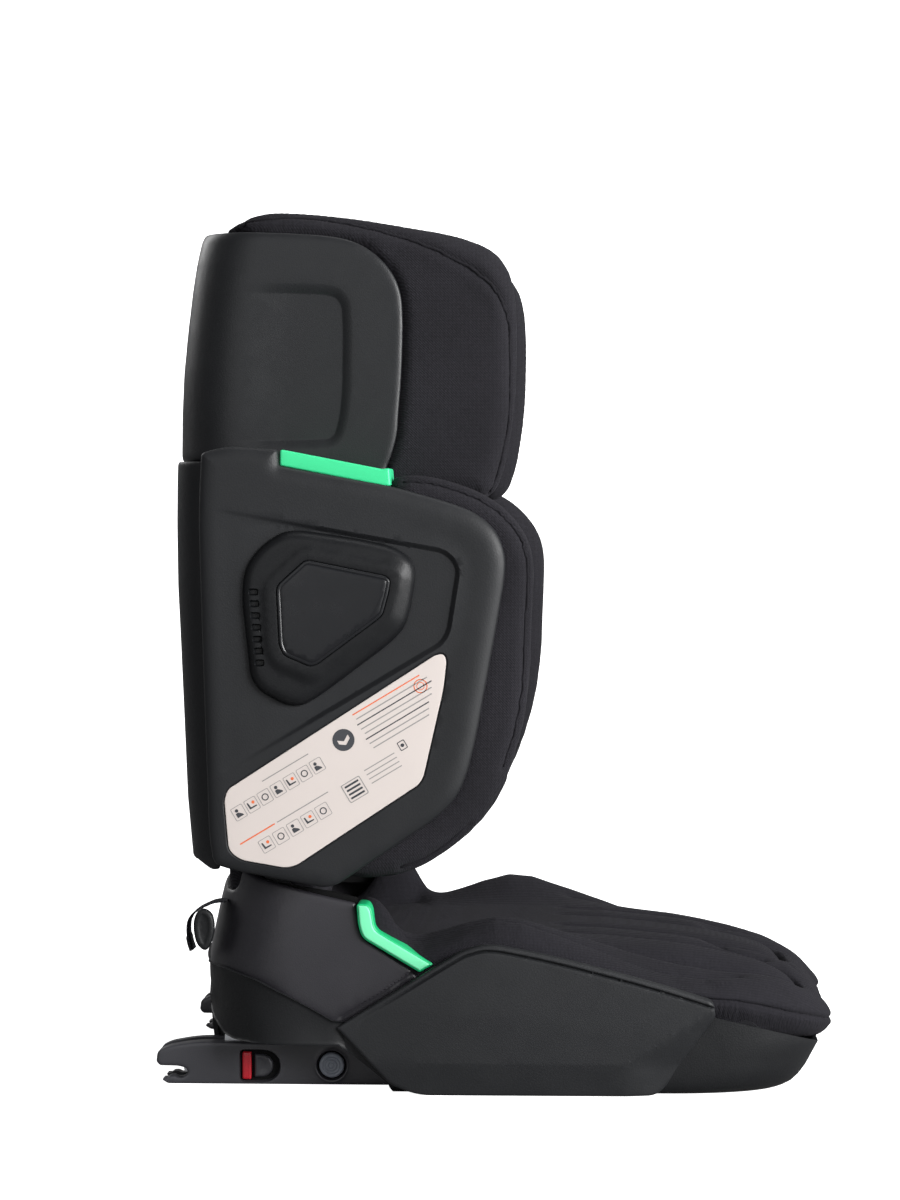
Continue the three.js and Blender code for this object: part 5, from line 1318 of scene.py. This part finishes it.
# ------------------------------------------------------------------ seat pad
CUSHT = np.array([  # x, half width, edge z, crest z, crest y, centre z
  [-186, 168, 84, 88, 150, 88], [-170, 180, 88, 98, 160, 92], [-150, 185, 90, 118, 160, 95], [-137, 187.6, 91, 139, 164, 97.6], [-127, 189.4, 92, 144, 166, 98.6], [-120, 190.4, 92, 141, 167, 99.4], [-113.5, 191.4, 93, 133.5, 168, 100], [-106, 192.2, 94, 121, 168, 100.6], [-99, 192.7, 95, 112.4, 168, 101], [-92, 193.2, 95.6, 109.6, 168, 101.6],
  [-84, 193.8, 97, 110.2, 168, 102], [-75, 194.5, 99, 113, 168, 102.2], [-53, 195.6, 104, 119.5, 168, 102.8], [-31, 196.2, 106, 124.4, 168, 103], [-11, 196.4, 102.5, 122.4, 168, 103.4],
  [19, 196.4, 94.5, 112.4, 168, 103.6], [49, 196.4, 86.5, 101.6, 168, 102.4], [82, 196.2, 79, 89, 168, 99], [104, 195.6, 75, 82.6, 168, 96.4], [128, 193.5, 70.8, 79, 160, 92.6],
  [149, 188, 68.5, 78.6, 150, 88.6], [167, 179, 64, 77.4, 138, 84.4], [180, 168, 60.4, 75, 126, 80.4], [190, 159, 57, 72.4, 115, 76.8], [201, 146, 53.6, 69, 106, 71.6], [211, 128, 50.4, 64.6, 100, 66], [217, 110, 48, 60.6, 98, 62.5], [226, 80, 44, 54, 95, 57]])
def ctab(x, k):
    return np.interp(x, CUSHT[:, 0], CUSHT[:, k])
sp_r = [(r[0], r[1]) for r in CUSHT[:-2]]
seat_plan = [(-192, 60, 20), (-190, 150, 30), (-178, 176, 20), (-140, 187, 20), (-100, 192.6, 20), (-54, 195.6, 20), (28, 196.2, 20), (110, 195, 16), (140, 190.5, 16), (160, 183, 16), (176, 173, 14), (192, 160, 14), (206, 144, 14), (217, 126, 12), (223.6, 106, 12), (225.6, 90, 10), (223.6, 72, 10), (218.6, 61, 6), (220.6, 46, 10), (221.6, 24, 20), (221.6, 10, 10)]
seat_plan = seat_plan + [(x, -y, r) for x, y, r in seat_plan[::-1]]
seat_out = dense(ccw(rp(seat_plan)), 4.0)
def seam_z(uv):
    x = uv[:, 0]
    z = ctab(x, 2)
    return z
def seat_top(uv):
    x, y = uv[:, 0], np.abs(uv[:, 1])
    d = sd(uv, seat_out)
    zc, yc, zm = ctab(x, 3), ctab(x, 4), ctab(x, 5)
    mid = zm + (zc - zm) * ss(y, yc * (0.52 + 0.25 * ss(-x, 90, 108)), yc) ** 1.25
    z = np.where(y > yc, zc, mid)
    front = ss(x, 100, 150)
    R = 26 + 4 * front
    f = hp_cap(d, R)
    side = ss(y, yc, yc + 30)
    zs = seam_z(uv)
    return zs + (z - zs) * f
def seat_bot(uv):
    x = uv[:, 0]
    d = sd(uv, seat_out)
    zb = np.interp(x, [-192, -149, -90, 60, 112, 128, 140, 150, 160, 168, 176, 183, 190, 195, 200, 205, 209, 216, 226], [70, 56, 54, 55, 54.6, 49.4, 46.6, 43.6, 41.8, 39.6, 38.4, 36, 34.5, 33, 32, 30.5, 29.6, 28.2, 27])
    zb = np.minimum(zb, seam_z(uv) - 7.5)
    f = hp_cap(d, 11)
    zs = seam_z(uv)
    return zs + (zb - zs) * f
to_plan = lambda uv, h: np.stack([uv[:, 0], uv[:, 1], h], 1)
T_OUT = np.array(rp_open([(20, 84), (80, 84, 20), (120, 83, 20), (160, 82, 20), (180, 82, 10), (192, 86, 8), (199.5, 97, 8), (198, 109, 8), (189, 118, 10), (172, 124, 20), (130, 131, 20), (80, 135, 20), (20, 136)], 0, 6))
T_MID = np.array(rp_open([(20, 36), (90, 36, 20), (150, 36, 20), (176, 34, 14), (188, 24, 12), (191, 0, 20)], 0, 6))
T_FRONT = np.array(rp_open([(207, 44), (182, 40.5, 14), (158, 40, 14), (142, 43, 8), (136.5, 51, 8), (139, 60, 8), (150, 67, 10), (172, 70)], 0, 6))
CREST = np.array(rp_open([(-150, 150), (-120, 163, 20), (-84, 167, 20), (-33, 168, 20), (28, 168, 20), (60, 167, 20), (93, 166, 20), (122, 163, 20), (150, 152)], 0, 6))
CH_LINES = [T_OUT, T_MID, T_FRONT]
def seat_channels(uv):
    """Depth of the sewn channels, and the padding standing up between them."""
    q = np.stack([uv[:, 0], np.abs(uv[:, 1])], 1)
    x = q[:, 0]
    h = np.zeros(len(q)); near_ = np.full(len(q), 1e9)
    for L_ in CH_LINES:
        l = linedist(q, L_)
        near_ = np.minimum(near_, l)
    grow_ = ss(x, 40, 128)
    h -= 4.6 * np.exp(-(near_ / 2.1) ** 2) * grow_
    h += 3.6 * (np.clip(near_ / 16, 0, 1) ** 0.6 - 0.7) * grow_ * (near_ < 60)
    return h
_seat_top0 = seat_top
def seat_top2(uv):
    d = sd(uv, seat_out)
    q = np.stack([uv[:, 0], np.abs(uv[:, 1])], 1)
    cr = linedist(q, CREST)
    return _seat_top0(uv) + seat_channels(uv) * ss(d, 4, 18) - 1.1 * np.exp(-(cr / 1.6) ** 2)
def beside(L_, offs, step=3.2):
    q = dense(L_, step)[:-1] if False else np.array([np.array([np.interp(t_, np.r_[0, np.cumsum(np.linalg.norm(np.diff(L_, axis=0), axis=1))], L_[:, k_]) for k_ in (0, 1)]) for t_ in np.arange(0, np.linalg.norm(np.diff(L_, axis=0), axis=1).sum(), step)])
    t_ = np.gradient(q, axis=0); t_ /= np.maximum(np.linalg.norm(t_, axis=1), 1e-9)[:, None]
    n_ = np.stack([-t_[:, 1], t_[:, 0]], 1)
    return np.concatenate([q + n_ * o_ for o_ in offs])
sx = np.concatenate([beside(L_, (-6, -3.6, -2, -0.9, 0, 0.9, 2, 3.6, 6)) for L_ in CH_LINES] + [beside(CREST, (-3, -1.5, -0.6, 0, 0.6, 1.5, 3))])
sx = np.concatenate([sx, sx * [1, -1]])
vs, fs = sheet(seat_out, seat_top2, seat_bot, to_plan, 5.0, (0.2, 0.9, 2.2, 4.2, 7, 11, 16, 22, 28), (), sx)
seat_pad = join_parts("seat_pad", [(vs, fs)])
def seat_free(c):
    x, y, z = c[:, 0], np.abs(c[:, 1]), c[:, 2]
    uv = c[:, :2]
    d = np.abs(sd(uv, seat_out))
    seam = np.abs(z - seam_z(uv))
    at_front = ss(x, 120, 140)
    under = (1 - ss(z, 46, 62)) * (1 - at_front)
    m = 5.0 * ss(np.hypot(d, seam), 1.5, 12)
    m = np.where(at_front > 0.5, m, np.where(y > 184, 0.4, m))
    bot = (z < seam_z(uv) - 6) & (d > 14)
    m = np.where(bot, 0.2, m)
    rear = ss(-x, 150, 170)
    m = m * (1 - 0.9 * rear)
    q = np.stack([x, y], 1)
    near_ = np.min([linedist(q, L_) for L_ in CH_LINES + [CREST]], axis=0)
    up_ = z > seam_z(uv)
    m = np.where(up_, m * ss(near_, 0.8, 9), m)
    return m + 0.05
puff(seat_pad, 0, seat_free, 7.0, smooth=0, shrink=0.6)
front_seam = [(x, y) for x, y in rp(seat_plan) if x > 118]
front_seam = sorted(front_seam, key=lambda p: math.atan2(p[1], p[0] - 60))
fl = np.array([(x, y, float(seam_z(np.array([[x, y]]))[0])) for x, y in front_seam])
fl = onto(seat_pad, curve3(fl, 2.0), 0.0)
groove(seat_pad, [fl], 3.0, 2.4, 0.5, 9)
# the seat takes the darkened knit: painted shade
finish_soft(seat_pad, "base", "knit_seat_shaded", ["seat_cushion"])

# ------------------------------------------------------------------ stage, light, camera
def stage_and_camera():
    w = bpy.data.worlds.new("studio"); bpy.context.scene.world = w
    w.use_nodes = True
    nt = w.node_tree
    bg = nt.nodes["Background"]
    bg.inputs[0].default_value = (0.95, 0.96, 1.0, 1); bg.inputs[1].default_value = 0.22
    cb = nt.nodes.new("ShaderNodeBackground"); cb.inputs[0].default_value = (1, 1, 1, 1); cb.inputs[1].default_value = 1.0
    lp = nt.nodes.new("ShaderNodeLightPath"); mx = nt.nodes.new("ShaderNodeMixShader")
    nt.links.new(lp.outputs["Is Camera Ray"], mx.inputs[0]); nt.links.new(bg.outputs[0], mx.inputs[1]); nt.links.new(cb.outputs[0], mx.inputs[2])
    nt.links.new(mx.outputs[0], nt.nodes["World Output"].inputs[0])
    me = bpy.data.meshes.new("floor")
    bm = bmesh.new()
    # a swept backdrop: floor, then a curve up to a wall
    prof = [(-3.0, 0.0), (1.6, 0.0)] + [(1.6 + 1.2 * math.sin(a), 1.2 - 1.2 * math.cos(a)) for a in np.linspace(0.15, math.pi / 2, 10)] + [(2.8, 4.0)]
    rows = []
    for y, z in prof:
        rows.append([bm.verts.new((x, y, z)) for x in (-4, 4)])
    for a, b in zip(rows, rows[1:]):
        bm.faces.new((a[0], a[1], b[1], b[0]))
    bm.to_mesh(me); bm.free()
    for p in me.polygons: p.use_smooth = True
    fl = bpy.data.objects.new("floor", me); bpy.context.scene.collection.objects.link(fl)
    t = NT("floor_pale")
    t.b.inputs["Base Color"].default_value = (0.86, 0.86, 0.86, 1); t.b.inputs["Roughness"].default_value = 0.85
    # paler to the camera than to the bounced light, so the underside of the object keeps its depth
    ft = MAT["floor_pale"].node_tree
    lp2 = ft.nodes.new("ShaderNodeLightPath"); rm = ft.nodes.new("ShaderNodeMix"); rm.data_type = "RGBA"
    rm.inputs[6].default_value = (0.22, 0.22, 0.22, 1); rm.inputs[7].default_value = (0.95, 0.95, 0.95, 1)
    ft.links.new(lp2.outputs["Is Camera Ray"], rm.inputs[0]); ft.links.new(rm.outputs[2], t.b.inputs["Base Color"])
    em = t.b.inputs["Emission Color"]; em.default_value = (1, 1, 1, 1)
    ft.links.new(lp2.outputs["Is Camera Ray"], t.b.inputs["Emission Strength"])
    me.materials.append(MAT["floor_pale"])
    def area(name, loc, target, size, power, col=(1, 1, 1), sy=None):
        l = bpy.data.lights.new(name, "AREA"); l.energy = power; l.color = col
        l.shape = "RECTANGLE"; l.size = size; l.size_y = sy or size
        o = bpy.data.objects.new(name, l); bpy.context.scene.collection.objects.link(o)
        o.location = loc
        d = Vector(target) - Vector(loc)
        o.rotation_euler = d.to_track_quat("-Z", "Y").to_euler()
        return o
    c = (-0.03, 0, 0.33)
    area("key", (1.75, -1.85, 1.02), c, 1.1, 100)
    area("fill", (-1.0, -2.8, 1.0), c, 2.2, 14)
    area("top", (0.35, 0.1, 2.7), c, 1.6, 22)
    area("front", (2.35, -0.9, 0.75), c, 1.0, 44)
    area("back", (-1.9, 1.5, 1.6), c, 1.4, 22)
    cam = bpy.data.cameras.new("cam"); co = bpy.data.objects.new("cam", cam)
    bpy.context.scene.collection.objects.link(co)
    cam.sensor_fit = "HORIZONTAL"; cam.sensor_width = 36
    a, e, D, K = math.radians(2.74), math.radians(1.5), 2.871, 0.7932
    cam.lens = (D * 1000 / K) / 900 * 36
    back = Vector((math.sin(a) * math.cos(e), -math.cos(a) * math.cos(e), math.sin(e)))
    T = Vector((-0.0730, 0, 0.3609))
    co.location = T + back * D
    co.rotation_euler = (-back).to_track_quat("-Z", "Y").to_euler()
    cam.clip_end = 50
    bpy.context.scene.camera = co
    bpy.context.scene.view_settings.view_transform = "Standard"
stage_and_camera()
